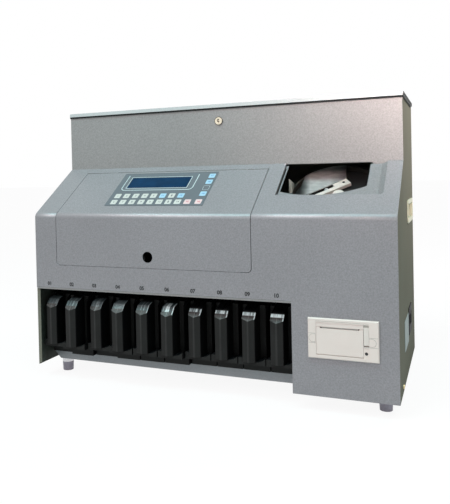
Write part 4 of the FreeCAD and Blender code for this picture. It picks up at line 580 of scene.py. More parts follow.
key_pad = rounded_tile("key_pad", *KEY_SIZE, PAD_HEIGHT, KEY_CORNER, PAD_RIM)
for number, (across, along, tone) in enumerate(key_spots, start=1):
    pad = copy_of(key_pad, f"key_{number:02d}")
    seat(pad, tone, "door", on_film(across, along))
bpy.data.objects.remove(key_pad)
bare_key = rounded_frame("bare_key", *KEY_SIZE, BARE_KEY_BAND, KEY_CORNER, BARE_KEY_DEPTH)
seat(bare_key, line_print, "door", on_film(SIDE_COLUMN, BARE_KEY_ROW))

# The figures and the two arrows on the keys are screen printed on their pads: grey on white, blue on light
# blue and red on pink.
FIGURE_HEIGHT, FIGURE_WEIGHT = 0.0042, 0.0001
FIGURE_GREY = (0.10, 0.11, 0.12)
FIGURE_BLUE = (0.03, 0.16, 0.42)
FIGURE_RED = (0.55, 0.05, 0.07)
HIGH_FIGURES = ("1", "2", "3", "4", "5", "11", None, "12")
LOW_FIGURES = ("6", "7", "8", "9", "0", "13", None, "14", "15", "16")
SIDE_FIGURES = ("17", "18", "19")
ARROW_HALF = 2.6
STEM_WIDTH, STEM_LENGTH, STEM_DROP = 1.5, 3.4, 2.6
ARROW_RISE = 1

figure_ink = mould("key_figure_print", FIGURE_GREY, 0.5)
blue_ink = mould("blue_figure_print", FIGURE_BLUE, 0.5)
red_ink = mould("red_figure_print", FIGURE_RED, 0.5)
inks = {white_pad.name: figure_ink, blue_pad.name: blue_ink, pink_pad.name: red_ink}
figures = HIGH_FIGURES + LOW_FIGURES + SIDE_FIGURES
for number, (figure, (across, along, tone)) in enumerate(zip(figures, key_spots), start=1):
    if figure:
        printed = lettering(f"key_figure_{number:02d}", figure, FIGURE_HEIGHT, FIGURE_WEIGHT)
        seat(printed, inks[tone.name], "door", on_film(across, along, PAD_HEIGHT))

for number, name, turn in ((7, "up_arrow", 0), (15, "down_arrow", 180)):
    bpy.ops.object.select_all(action="DESELECT")
    bpy.ops.mesh.primitive_circle_add(vertices=3, radius=ARROW_HALF * MM, fill_type="NGON")
    arrow = open_piece(f"key_{name}")
    extrude(0, 0, INK_DEPTH / MM)
    bpy.ops.mesh.primitive_plane_add(size=1)
    bpy.ops.transform.resize(value=(STEM_WIDTH * MM, STEM_LENGTH * MM, 1))
    bpy.ops.transform.translate(value=(0, -STEM_DROP * MM, 0))
    extrude(0, 0, INK_DEPTH / MM)
    close_piece()
    across, along, tone = key_spots[number - 1]
    spot = on_film(across, along, PAD_HEIGHT) @ Matrix.Rotation(math.radians(turn), 4, "Z")
    seat(arrow, inks[tone.name], "door", spot @ Matrix.Translation((0, ARROW_RISE * MM, 0)))

# The coin boxes are injection moulded in glossy black plastic. Each slides on the tray under the deck
# and is pulled out by the prow-shaped grip at its front. The grip's crest carries painted light: a painted
# sheen on its upper facet, a painted reflection in pale streaks that is brightest on the boxes at the
# right, and painted highlights down its ridge and along its right edge. The boxes' sides carry painted shade.
BOX_BLACK = (0.0060, 0.0064, 0.0070)
BOX_SATIN = (0.0150, 0.0148, 0.0142)
BOX_SIDE_SHADE = (0.0040, 0.0040, 0.0042)
FACET_SHEEN = (0.036, 0.032, 0.031)
SHEEN_DULL = (0.038, 0.053, 0.057)
SHEEN_BRIGHT = (0.88, 1.0, 1.0)
RIDGE_HIGHLIGHT = (0.0215, 0.0210, 0.0205)
EDGE_DULL = (0.10, 0.10, 0.10)
EDGE_BRIGHT = (0.90, 0.95, 0.95)
FACET_LOW, FACET_BLUR = 0.1345, 0.0004
SHEEN_LOW = (0.1432, 0.1443)
SHEEN_TOP = (0.1548, 0.1490)
SHEEN_BLUR = 0.0005
SHEEN_CHANGE = (-0.037, -0.026)
HIGHLIGHT_CHANGE, HIGHLIGHT_LEAST = (-0.13, -0.05), 0.16
STREAK_CHANGE, STREAK_MOST = (-0.02, 0.12), 0.13
STREAK_SPAN = (0.46, 0.65)
SCOOP_HIGH, RIDGE_AREA = 0.080, 60e-6
GRIP_MIDDLE, GRIP_HALF, GRIP_BLUR = 0.0195, 0.0125, 0.0002
RIDGE_HALF, RIDGE_CORE, RIDGE_LIGHT = 0.0011, 0.4, 2.2
BRIGHT_FROM, BRIGHT_BLUR = 0.0094, 0.0008
BRIGHT_EDGE = 0.6
UP_FROM, SIDE_FROM, FRONT_FROM = 0.15, 0.8, -0.97
BOX_EDGE = 0.0010


def along_axis(tree, direction):
    """How far a point of the piece lies along a direction, in the piece's own coordinates."""
    product = add_node(tree, "VectorMath", {"operation": "DOT_PRODUCT"})
    tree.links.new(add_node(tree, "TexCoord").outputs["Object"], product.inputs[0])
    product.inputs[1].default_value = direction
    return product.outputs["Value"]


def past(tree, value, level, blur):
    """Nought below a level and one above it, with a soft edge."""
    return spread(tree, value, level - blur, level + blur, 0, 1)


def mix_colours(tree, share, first, second):
    """Passes from one colour to another, each linked or plain, as the share goes from nought to one."""
    mix = add_node(tree, "Mix", {"data_type": "RGBA"})
    ends = [socket for socket in mix.inputs if socket.type == "RGBA"]
    for socket, colour in zip(ends, (first, second)):
        if isinstance(colour, tuple):
            socket.default_value = (*colour, 1)
        else:
            tree.links.new(colour, socket)
    tree.links.new(share, mix.inputs["Factor"])
    return next(socket for socket in mix.outputs if socket.type == "RGBA")


# The crest group paints light on the grips: a sheen on the upper facet, a reflection in pale streaks and
# highlights on the ridge and right edge.
crest, crest_in, crest_out = new_group("grip_crest", Plain="Color", Facet="Color", Dull="Color",
                                       Bright="Color", Ridge="Float", Pitch="Float")
sideways, height = along_axis(crest, RIGHTWARD), along_axis(crest, UPWARD)
flow_lines_and_sheen = add_noise(crest, 1, detail=2, roughness=0.6, stretch=(300, 3, 3))
on_facet = past(crest, height, FACET_LOW, FACET_BLUR)
sheen_low = spread(crest, sideways, *SHEEN_CHANGE, *SHEEN_LOW)
sheen_top = spread(crest, sideways, *SHEEN_CHANGE, *SHEEN_TOP)
on_sheen = past(crest, arithmetic(crest, "SUBTRACT", height, sheen_low), 0, SHEEN_BLUR)
past_sheen = past(crest, arithmetic(crest, "SUBTRACT", height, sheen_top), 0, FACET_BLUR)
worn = spread(crest, sideways, *HIGHLIGHT_CHANGE, HIGHLIGHT_LEAST, 1)
streak_level = arithmetic(crest, "ADD", flow_lines_and_sheen, spread(crest, sideways, *STREAK_CHANGE, 0, STREAK_MOST))
streak_share = multiply(crest, worn, spread(crest, streak_level, *STREAK_SPAN, 0, 1))
painted_sheen = mix_colours(crest, streak_share, crest_in["Dull"], crest_in["Bright"])
boxes_along = arithmetic(crest, "SUBTRACT", sideways, crest_in["Ridge"])
boxes_along = arithmetic(crest, "DIVIDE", boxes_along, crest_in["Pitch"])
ridge_share = arithmetic(crest, "SUBTRACT", arithmetic(crest, "FRACT", boxes_along), 0.5)
from_ridge = multiply(crest, ridge_share, crest_in["Pitch"])
off_ridge = arithmetic(crest, "ABSOLUTE", from_ridge)
on_ridge = spread(crest, off_ridge, RIDGE_HALF * RIDGE_CORE, RIDGE_HALF, RIDGE_LIGHT, 1)
off_grip = spread(crest, off_ridge, GRIP_HALF - GRIP_BLUR, GRIP_HALF, 0, 1)
right_edge = spread(crest, from_ridge, BRIGHT_FROM, BRIGHT_FROM + BRIGHT_BLUR, 0, BRIGHT_EDGE)
facet_tone = shade(crest, crest_in["Facet"], on_ridge)
crest_colour = mix_colours(crest, on_sheen, facet_tone, painted_sheen)
crest_colour = mix_colours(crest, multiply(crest, worn, right_edge), crest_colour, crest_in["Bright"])
crest_colour = mix_colours(crest, on_facet, crest_in["Plain"], crest_colour)
for share in (past_sheen, off_grip):
    crest_colour = mix_colours(crest, share, crest_colour, crest_in["Plain"])
close_group(crest, crest_out, crest_colour, spread(crest, flow_lines_and_sheen, *GRAIN_SPAN, 0.45, 0.2), flow_lines_and_sheen)

box_names = [f"coin_box_{number:02d}" for number in range(1, 11)]
first_box, last_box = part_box(box_names[0])[0].x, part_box(box_names[-1])[0].x
box_pitch = (last_box - first_box) / (len(box_names) - 1)
crest_values = {"Plain": BOX_BLACK, "Facet": FACET_SHEEN, "Dull": SHEEN_DULL, "Bright": SHEEN_BRIGHT,
                "Ridge": first_box + GRIP_MIDDLE - box_pitch / 2, "Pitch": box_pitch}
edge_values = dict(crest_values, Plain=BOX_SATIN, Facet=EDGE_DULL, Dull=EDGE_DULL, Bright=EDGE_BRIGHT)
# The gloss and edge finishes carry the crest's painted light, the side finish is a darker black as painted
# shade and the ridge finish is a lighter grey as a painted highlight.
box_satin = mould("box_satin_black", BOX_SATIN, 0.5, mottle=0.2, bump=(0.2, 0.0001), Specular_IOR_Level=0.12)
box_gloss = finish_with("box_gloss_black", crest, crest_values, bump=(0.3, 0.0008), Specular_IOR_Level=0.3)
box_side_shade = mould("box_side_painted_shade", BOX_SIDE_SHADE, 0.5, Specular_IOR_Level=0.1)
box_ridge = mould("box_ridge_painted_highlight", RIDGE_HIGHLIGHT, 0.4, mottle=0.3, Specular_IOR_Level=0.2)
box_highlight_edge = finish_with("box_worn_edge", crest, edge_values, Specular_IOR_Level=0.2)
box_finishes = [box_satin, box_gloss, box_side_shade, box_ridge, box_highlight_edge]
coat(box_satin, *box_names)
soften(BOX_EDGE, *box_names)
for name in box_names:
    for finish in box_finishes[1:]:
        nodes[name].data.materials.append(finish)
    nodes[name].modifiers["broken_edges"].material = box_finishes.index(box_highlight_edge)
    for face in nodes[name].data.polygons:
        if face.normal.z > UP_FROM:
            face.material_index = box_finishes.index(box_gloss)
        elif abs(face.normal.x) > SIDE_FROM:
            face.material_index = box_finishes.index(box_side_shade)
        elif face.normal.y < FRONT_FROM and face.center.z > SCOOP_HIGH and face.area < RIDGE_AREA:
            face.material_index = box_finishes.index(box_ridge)

# Each foot is a turned aluminium collar on a tapered grey pad shod with rubber. It is screwed up into the
# tray from below.
FOOT_SILVER = (0.62, 0.62, 0.64)
FOOT_GREY = (0.36, 0.34, 0.40)
COLLAR_LOW, COLLAR_BLUR = 0.0175, 0.0003
FOOT_EDGE = 0.0012

foot_finish, foot_shader = new_material("foot_collar_and_pad")
foot_tree = foot_finish.node_tree
collar = past(foot_tree, along_axis(foot_tree, UPWARD), COLLAR_LOW, COLLAR_BLUR)
foot_wear = spread(foot_tree, add_noise(foot_tree, 60, detail=4), *NOISE_SPAN, 0.9, 1.1)
foot_colour = shade(foot_tree, mix_colours(foot_tree, collar, FOOT_GREY, FOOT_SILVER), foot_wear)
foot_tree.links.new(foot_colour, foot_shader.inputs["Base Color"])
foot_tree.links.new(spread(foot_tree, collar, 0, 1, 0.45, 0.22), foot_shader.inputs["Roughness"])
foot_tree.links.new(spread(foot_tree, collar, 0, 1, 0.2, 1.0), foot_shader.inputs["Metallic"])
coat(foot_finish, "feet")
soften(FOOT_EDGE, "feet", segments=3)

# The carrying handles are cream plastic cups pressed into the sides, and the power inlet and its rocker
# switch are black plastic snapped into the right side from outside.
HANDLE_CREAM = (0.55, 0.54, 0.40)
FITTING_BLACK = (0.018, 0.018, 0.019)
HANDLE_EDGE, INLET_EDGE = 0.0006, 0.0004

coat(mould("handle_cream", HANDLE_CREAM, 0.42), "side_handles")
fitting_black = mould("fitting_black", FITTING_BLACK, 0.5, bump=(0.2, 0.0001), Specular_IOR_Level=0.04)
coat(fitting_black, "power_inlet", "power_rocker")
soften(HANDLE_EDGE, "side_handles")
soften(INLET_EDGE, "power_inlet")

# The lid lock is a brass cam lock: a barrel through the tower's front, dark brown round its rim, and a
# keyed plug turning in it, with a dark open ring on its face as painted shade of the keyway.
BRASS = (0.80, 0.70, 0.55)
RIM_BROWN = (0.060, 0.045, 0.030)
RIM_START, RIM_BLUR = 0.0068, 0.0006
KEY_RING = (1.6, 3.2)
KEY_RING_WALL = 0.12
KEY_RING_ARC = math.radians(260)
KEY_RING_TURN = math.radians(-40)
KEY_RING_RISE = 0.8

barrel_low, barrel_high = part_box("lock_barrel")
lock_middle = (barrel_low.z + barrel_high.z) / 2
lock_brass, lock_shader = new_material("lock_brass", Metallic=0.55, Roughness=0.3)
lock_tree = lock_brass.node_tree
from_axis = add_node(lock_tree, "Mapping", Location=(0, 0, -lock_middle), Scale=(1, 0, 1))
lock_tree.links.new(add_node(lock_tree, "TexCoord").outputs["Object"], from_axis.inputs["Vector"])
lock_radius = add_node(lock_tree, "VectorMath", {"operation": "LENGTH"})
lock_tree.links.new(from_axis.outputs["Vector"], lock_radius.inputs[0])
rim_share = spread(lock_tree, lock_radius.outputs["Value"], RIM_START, RIM_START + RIM_BLUR, 0, 1)
lock_wear = spread(lock_tree, add_noise(lock_tree, 300, detail=3), *NOISE_SPAN, 0.85, 1.1)
lock_colour = shade(lock_tree, mix_colours(lock_tree, rim_share, BRASS, RIM_BROWN), lock_wear)
lock_tree.links.new(lock_colour, lock_shader.inputs["Base Color"])
coat(lock_brass, "lock_barrel", "lock_plug")

# The dark open ring on the plug is painted shade of the keyway.
key_ring = start_plate("lock_key_ring", KEY_RING[1] - KEY_RING[0], KEY_RING_WALL)
bpy.ops.transform.rotate(value=math.radians(90), orient_axis="X", center_override=(0, 0, 0))
bpy.ops.transform.translate(value=(sum(KEY_RING) / 2 * MM, 0, 0))
bpy.ops.mesh.spin(steps=20, angle=KEY_RING_ARC, center=(0, 0, 0), axis=(0, 0, 1))
bpy.ops.mesh.select_all(action="SELECT")
bpy.ops.mesh.remove_doubles(threshold=0.000001)
bpy.ops.mesh.fill_holes(sides=4)
close_piece()
plug_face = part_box("lock_plug")[0].y
ring_spot = Matrix.Translation((0, plug_face, lock_middle + KEY_RING_RISE * MM)) @ facing_front
ring_spot = ring_spot @ Matrix.Rotation(KEY_RING_TURN, 4, "Z")
seat(key_ring, mould("lock_keyway_painted_shade", RIM_BROWN, 0.5), "lock", ring_spot)

# The hinge leaves at the lid's rear, the door's hinge arms and their brackets are stamped from steel strip
# and bright zinc plated. Each hinge turns on a pin pressed through its fixed half.
ZINC = (0.52, 0.53, 0.54)

metal_grain, metal_in, metal_out = new_group("drawn_metal", Colour="Color", Roughness="Float", Streak="Float")
streaks = add_noise(metal_grain, 14, detail=5, roughness=0.7, stretch=(3, 60, 60))
streak_tone = one_plus(metal_grain, spread(metal_grain, streaks, *NOISE_SPAN, -1, 1), metal_in["Streak"])
streak_gloss = spread(metal_grain, streaks, *NOISE_SPAN, 0.8, 1.2)
close_group(metal_grain, metal_out, shade(metal_grain, metal_in["Colour"], streak_tone),
            multiply(metal_grain, metal_in["Roughness"], streak_gloss), streaks)


def metal(name, colour, roughness, metallic=1.0):
    """A bare or plated metal with the faint streaks of drawing or turning."""
    values = {"Colour": colour, "Roughness": roughness, "Streak": 0.06}
    return finish_with(name, metal_grain, values, bump=(0.08, 0.0001), Metallic=metallic)


zinc_plate = metal("bright_zinc", ZINC, 0.34)
coat(zinc_plate, "lid_hinge_leaf", "rear_hinge_leaf", "door_hinge_arms", "door_hinge_brackets")

# A black strip along the lid's folded rim at the front and both sides hangs just below the rim as painted
# shadow of the gap over the tower, and the outside of the rim at the sides is painted black as shade.
EDGING_SHADE = (0.012, 0.012, 0.012)
EDGING_BAND, EDGING_CORNER = 1.3, 2.5
EDGING_INSET = 0.25
EDGING_HEIGHT, EDGING_HOLD = 3.6, 0.4
EDGING_REAR = 30

lid_low, lid_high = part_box("hopper_lid")
front_rim = [vertex.co.z for vertex in nodes["hopper_lid"].data.vertices if vertex.co.y < lid_low.y + MM]
lid_width = (lid_high.x - lid_low.x) / MM - 2 * EDGING_INSET
lid_depth = (lid_high.y - lid_low.y) / MM - 2 * EDGING_INSET
edging = rounded_frame("lid_edging", lid_width, lid_depth, EDGING_BAND, EDGING_CORNER, EDGING_HEIGHT)
cut_off(edging, BACKWARD * (lid_depth / 2 - EDGING_REAR) * MM, BACKWARD)
# The strip and the rim's outer sides are painted near black as shade of the gap under the lid.
lid_gap_shade = mould("lid_gap_shade", EDGING_SHADE, 0.6, bump=(0.3, 0.0002), Specular_IOR_Level=0.15)
edging_spot = (lid_low + lid_high) / 2
edging_spot.z = min(front_rim) - (EDGING_HEIGHT - EDGING_HOLD) * MM
seat(edging, lid_gap_shade, "lid", Matrix.Translation(edging_spot))
repaint("hopper_lid", lid_gap_shade,
        lambda face: abs(face.normal.x) > 0.8 and abs(face.center.x) > lid_high.x - MM)

# The sorting disc turns in a cast ring under the window. The hood over it is bent from polished
# stainless sheet, darkened at both ends as painted shade, and the stripper bar beside the hub lets one
# layer of coins pass.
STEEL = (0.60, 0.60, 0.59)
PLATE_ALUMINIUM = (0.40, 0.40, 0.39)
BAR_STEEL = (0.70, 0.64, 0.59)
SLOT_SHADE = (0.020, 0.018, 0.016)
RING_DARK = (0.036, 0.031, 0.025)
DISC_DARK = (0.012, 0.012, 0.012)
HUB_PALE = (0.60, 0.55, 0.50)
HUB_HEIGHT = 0.0105
HOOD_RIGHT_SHADE, RIGHT_SHADE_TONE = (0.205, 0.232), 0.42
HOOD_SHADOW, SHADOW_TONE = (0.185, 0.204), 0.15
SHADOW_LEAN = 0.18
HOOD_EDGE = 0.0003
SLOT_INSET, SLOT_DEPTH = 0.0016, 0.001

hood_steel, hood_shader = new_material("hood_stainless", Metallic=0.5, Roughness=0.36)
hood_tree = hood_steel.node_tree
# Both ends of the hood are darkened as painted shade.
right_end = spread(hood_tree, along_axis(hood_tree, RIGHTWARD), *HOOD_RIGHT_SHADE, 1, RIGHT_SHADE_TONE)
from_left = along_axis(hood_tree, RIGHTWARD + up_slope * SHADOW_LEAN)
left_end = spread(hood_tree, from_left, *HOOD_SHADOW, SHADOW_TONE, 1)
hood_grain = add_noise(hood_tree, 45, detail=4, stretch=(1, 2.4, 2.4))
hood_tone = spread(hood_tree, hood_grain, *NOISE_SPAN, 0.6, 1.1)
for factor in (right_end, left_end, left_end):
    hood_tone = multiply(hood_tree, hood_tone, factor)
hood_tree.links.new(shade(hood_tree, STEEL, hood_tone), hood_shader.inputs["Base Color"])
coat(hood_steel, "coin_hood")
soften(HOOD_EDGE, "coin_hood")

coat(metal("bar_steel", BAR_STEEL, 0.32, metallic=0.3), "stripper_bar")
bar_sides = [face for face in nodes["stripper_bar"].data.polygons if abs(face.normal.dot(film_normal)) < 0.1]
bar_side = max(bar_sides, key=lambda face: face.area).normal.copy()
bar_run = bar_side.cross(film_normal)
bar_low, bar_high = reach("stripper_bar", bar_side)
bar_top = reach("stripper_bar", film_normal)[1]


def in_slot(face):
    """True for the walls and floors of the bar's slot and hole."""
    facing = face.normal.dot(film_normal)
    wall = abs(facing) < 0.1 and abs(face.normal.dot(bar_run)) < 0.999
    sunk = facing > 0.9 and face.center.dot(film_normal) < bar_top - SLOT_DEPTH
    inside = bar_low + SLOT_INSET < face.center.dot(bar_side) < bar_high - SLOT_INSET
    return inside and (wall or sunk)


# The walls and floors of the bar's slot and hole are painted near black as painted shade.
repaint("stripper_bar", mould("bar_slot_painted_shade", SLOT_SHADE, 0.5, Specular_IOR_Level=0.1), in_slot)
coat(mould("ring_black_anodised", RING_DARK, 0.4), "disc_ring")
coat(mould("disc_black_anodised", DISC_DARK, 0.32), "sorting_disc")
coat(metal("spindle_steel", STEEL, 0.3), "disc_spindle")
coat(metal("sort_plate_aluminium", PLATE_ALUMINIUM, 0.4), "sort_plate")
hub_level = reach("sorting_disc", film_normal)[1] - HUB_HEIGHT
repaint("sorting_disc", mould("hub_pale_plastic", HUB_PALE, 0.35),
        lambda face: face.center.dot(film_normal) > hub_level)

# A guide folded to a narrow tube stands upright on the ring's rim where the coins leave the disc for the
# sorting plate. It is cut to the rim's slope below and aslant above.
GUIDE_GREY = (0.31, 0.30, 0.26)
GUIDE_WIDTH, GUIDE_DEPTH, GUIDE_HEIGHT = 5.6, 15, 60
GUIDE_WALL = 1.0
GUIDE_CUT, GUIDE_CUT_LEVEL = (0.9, 0.2, 1), 20
GUIDE_ACROSS, GUIDE_ALONG = 5.8, 3


def thicken(piece, wall, offset):
    """Gives a sheet its wall in millimetres, to both sides or below."""
    piece.modifiers.new("wall", "SOLIDIFY").thickness = wall * MM
    piece.modifiers["wall"].offset = offset
    bpy.ops.object.modifier_apply(modifier="wall")


guide = start_plate("exit_guide", GUIDE_WIDTH, GUIDE_HEIGHT)
bpy.ops.transform.rotate(value=math.radians(90), orient_axis="X", center_override=(0, 0, 0))
bpy.ops.transform.translate(value=(-GUIDE_WIDTH / 2 * MM, 0, 0))
extrude(0, GUIDE_DEPTH, 0)
close_piece()
thicken(guide, GUIDE_WALL, 0)
cut_off(guide, UPWARD * GUIDE_CUT_LEVEL * MM, GUIDE_CUT)
cut_off(guide, (0, 0, 0), -film_normal)
disc_along = (sum(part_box("sorting_disc"), Vector()) / 2).dot(up_slope)
guide_spot = up_slope * (disc_along + GUIDE_ALONG * MM) + film_normal * reach("disc_ring", film_normal)[1]
guide_spot.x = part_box("disc_ring")[0].x + GUIDE_ACROSS * MM
seat(guide, mould("guide_plated", GUIDE_GREY, 0.45), "cabinet",
     Matrix.Translation(guide_spot))

# The window's pan is pressed from the front cover's sheet metal, so its right wall leans out in a soft
# flank. A tongue of the tower's sheet closes the pan's end beside the opening. The pan and its flank
# are coated darker than the front as painted shade of the recess.
FLANK_WIDTH, FLANK_LENGTH, FLANK_RISE = 9.5, 93, 3.7
FLANK_WALL = 0.4
FLANK_SHADED_GREY = (0.196, 0.199, 0.205)
PAN_MARGIN, PAN_DEPTH = 8, 2.5
TONGUE_WIDTH, TONGUE_HEIGHT, TONGUE_FORM = 25.5, 5.4, (1, 0.3, 0.1)
TONGUE_INSET = 1.1

guard_corner = slope_corner("window_guard", 1)


def pick(piece, rule):
    """Selects only those vertices of the open piece whose place a rule picks out."""
    bpy.ops.mesh.select_all(action="DESELECT")
    bpy.ops.object.mode_set(mode="OBJECT")
    for vertex in piece.data.vertices:
        vertex.select = rule(vertex.co)
    bpy.ops.object.mode_set(mode="EDIT")


def on_guard(across, along, above):
    """A place by the window, in millimetres from the upper right corner of the pan's rim."""
    return on_slope(guard_corner, across, along, above)


bpy.ops.object.select_all(action="DESELECT")
bpy.ops.mesh.primitive_grid_add(x_subdivisions=12, y_subdivisions=24, size=1)
flank = open_piece("window_flank")
bpy.ops.transform.resize(value=(FLANK_WIDTH * MM, FLANK_LENGTH * MM, 1))
pick(flank, lambda spot: spot.x > (FLANK_WIDTH / 2 - 0.1) * MM)
bpy.ops.transform.translate(value=(0, 0, FLANK_RISE * MM), use_proportional_edit=True,
                            proportional_edit_falloff="SMOOTH", proportional_size=FLANK_WIDTH * MM)
bpy.ops.object.mode_set(mode="OBJECT")
thicken(flank, FLANK_WALL, -1)
bpy.ops.object.shade_smooth_by_angle(angle=math.radians(50))
# The flank takes a darker coat as painted shade.
flank_shaded_coat = powder("flank_powder_coat_painted_shade", FLANK_SHADED_GREY, 0.1, specular=0.2)
flank_spot = on_guard(-PAN_MARGIN - FLANK_WIDTH / 2, -FLANK_LENGTH / 2, -PAN_DEPTH + FLANK_WALL)
seat(flank, flank_shaded_coat, "cabinet", flank_spot)

tower_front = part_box("hopper_front_panel")[0].y
pan_end = on_guard(-PAN_MARGIN, 0, -PAN_DEPTH).translation
tongue = rounded_tile("window_tongue", TONGUE_WIDTH, TONGUE_HEIGHT, *TONGUE_FORM)
tongue_spot = pan_end + Vector((-TONGUE_WIDTH / 2, 0, TONGUE_HEIGHT / 2)) * MM
tongue_spot.y = tower_front + TONGUE_INSET * MM
seat(tongue, tower_coat, "cabinet", Matrix.Translation(tongue_spot) @ facing_front)

# Small pan head screws: one clamps the stripper bar through its slot, one earths the right side near the
# floor, and a row holds the rear panel to the flanges of the side panels and the tray.
SCREW_BRASS = (0.72, 0.60, 0.34)
BAR_SCREW, BAR_SCREW_AT = (3.2, 5.2), (-114.3, -27.6, -39.8)
EARTH_SCREW, EARTH_SCREW_AT = (3.4, 2.2), (-116.6, 36)
REAR_SCREW, REAR_MARGIN, REAR_TOP = (3.6, 2.4), 14, 40
REAR_COLUMNS = (-1, -0.33, 0.33, 1)
HEAD_ROUND, DRIVE_MARGIN, DRIVE_DEPTH = 0.45, 0.3, 0.5


def pan_head(name, radius, height):
    """A screw head with a domed rim and a sunk drive, in millimetres, standing on the zero plane."""
    bpy.ops.object.select_all(action="DESELECT")
    bpy.ops.mesh.primitive_cylinder_add(vertices=20, radius=radius * MM, depth=height * MM,
                                        location=(0, 0, height / 2 * MM))
    head = bpy.context.object
    head.name = name
    bpy.ops.object.transform_apply(location=True)
    for face in head.data.polygons:
        face.select = face.normal.z > 0.5
    bpy.ops.object.mode_set(mode="EDIT")
    bpy.ops.mesh.bevel(offset=height * HEAD_ROUND * MM, segments=3)
    bpy.ops.object.mode_set(mode="OBJECT")
    for face in head.data.polygons:
        face.select = face.normal.z > 0.999
    bpy.ops.object.mode_set(mode="EDIT")
    bpy.ops.mesh.inset(thickness=radius * DRIVE_MARGIN * MM)
    extrude(0, 0, -height * DRIVE_DEPTH)
    bpy.ops.object.mode_set(mode="OBJECT")
    bpy.ops.object.shade_smooth_by_angle(angle=math.radians(40))
    return head


facing_right = Matrix.Rotation(math.radians(90), 4, "Y")
facing_rear = Matrix.Rotation(math.radians(-90), 4, "X")
bar_screw = pan_head("bar_screw", *BAR_SCREW)
seat(bar_screw, zinc_plate, "cabinet", on_guard(*BAR_SCREW_AT))
right_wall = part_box("right_side_panel")[1].x
earth_screw = pan_head("earth_screw", *EARTH_SCREW)
earth_spot = Vector((right_wall, EARTH_SCREW_AT[0] * MM, EARTH_SCREW_AT[1] * MM))
seat(earth_screw, metal("screw_brass", SCREW_BRASS, 0.3), "cabinet",
     Matrix.Translation(earth_spot) @ facing_right)

rear_low, rear_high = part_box("rear_panel")
rear_half = (rear_high.x - rear_low.x) / 2 - REAR_MARGIN * MM
side_levels = ((rear_low.z + rear_high.z) / 2, rear_high.z - REAR_TOP * MM)
rear_spots = [(share * rear_half, rear_low.z + REAR_MARGIN * MM) for share in REAR_COLUMNS]
rear_spots += [(side * rear_half, level) for side in (-1, 1) for level in side_levels]
rear_screw = pan_head("rear_screw", *REAR_SCREW)
for number, (across, level) in enumerate(rear_spots, start=1):
    screw = copy_of(rear_screw, f"rear_screw_{number:02d}")
    spot = Matrix.Translation((across, rear_high.y, level)) @ facing_rear
    seat(screw, zinc_plate, "cabinet", spot)
bpy.data.objects.remove(rear_screw)

# A thin plate of pale anodised aluminium with round corners is glued to the right side in front of the
# power inlet.
PLATE_PALE = (0.30, 0.345, 0.34)
PLATE_FRONT, PLATE_REAR = -73.6, 8
PLATE_LOW, PLATE_HIGH = 80, 131
PLATE_FORM = (0.8, 2, 0.25)

plate = rounded_tile("side_plate", PLATE_HIGH - PLATE_LOW, PLATE_REAR - PLATE_FRONT, *PLATE_FORM)
plate_spot = Vector((right_wall, (PLATE_FRONT + PLATE_REAR) / 2 * MM, (PLATE_LOW + PLATE_HIGH) / 2 * MM))
plate_finish = mould("plate_anodised", PLATE_PALE, 0.5, Specular_IOR_Level=0.05)
seat(plate, plate_finish, "cabinet", Matrix.Translation(plate_spot) @ facing_right)

# Inside, the deck, guides, dividers, transport frame and coin bin are bent from plain grey plated sheet
# and fixed to the casing and to each other.
DECK_GREY = (0.10, 0.10, 0.10)
BIN_GREY = (0.22, 0.22, 0.22)

deck_sheet = metal("deck_plated_sheet", DECK_GREY, 0.5)
coat(deck_sheet, "mechanism_deck", "box_guides", "coin_dividers", "transport_frame")
coat(metal("bin_plated_sheet", BIN_GREY, 0.45), "hopper_bin")

# The belts are endless bands of black rubber on turned steel pulleys and rollers. Small motors in plated
# cans drive them, and the power supply has a case of the same sheet.
RUBBER_BLACK = (0.022, 0.022, 0.023)
MOTOR_GREY = (0.30, 0.30, 0.31)

coat(mould("belt_rubber", RUBBER_BLACK, 0.7, bump=(0.35, 0.0002)), "transport_belt", "feed_belt", "disc_belt")
coat(metal("pulley_steel", ZINC, 0.3), "motor_pulley", "transport_drive_pulley", "transport_idler_pulley",
     "feed_drive_roller", "feed_idler_roller")
coat(metal("motor_can", MOTOR_GREY, 0.4), "disc_motor", "belt_motors", "power_supply")

# The control board is green laminate with its parts soldered on. It stands on short pillars off the rear
# panel.
coat(mould("control_board_green", BOARD_GREEN, 0.4, mottle=0.2), "main_board")

# The ticket printer snaps into the column: an ivory bezel and paper door on a black housing, with a
# rubber platen behind the door, a lever that lets it open and a small dark feed button.
IVORY = (0.74, 0.63, 0.58)
LEVER_IVORY = (0.70, 0.615, 0.565)
PRINTER_EDGE = 0.0005

ivory = mould("printer_ivory", IVORY, 0.38, mottle=0.02)
coat(ivory, "printer_bezel", "printer_door")
coat(mould("lever_ivory", LEVER_IVORY, 0.36, mottle=0.02), "printer_lever")
printer_black = mould("printer_black", FITTING_BLACK, 0.45)
coat(printer_black, "printer_housing", "feed_button")
coat(mould("platen_rubber", RUBBER_BLACK, 0.65), "platen_roller")
soften(PRINTER_EDGE, "printer_bezel", "printer_door", "printer_lever")

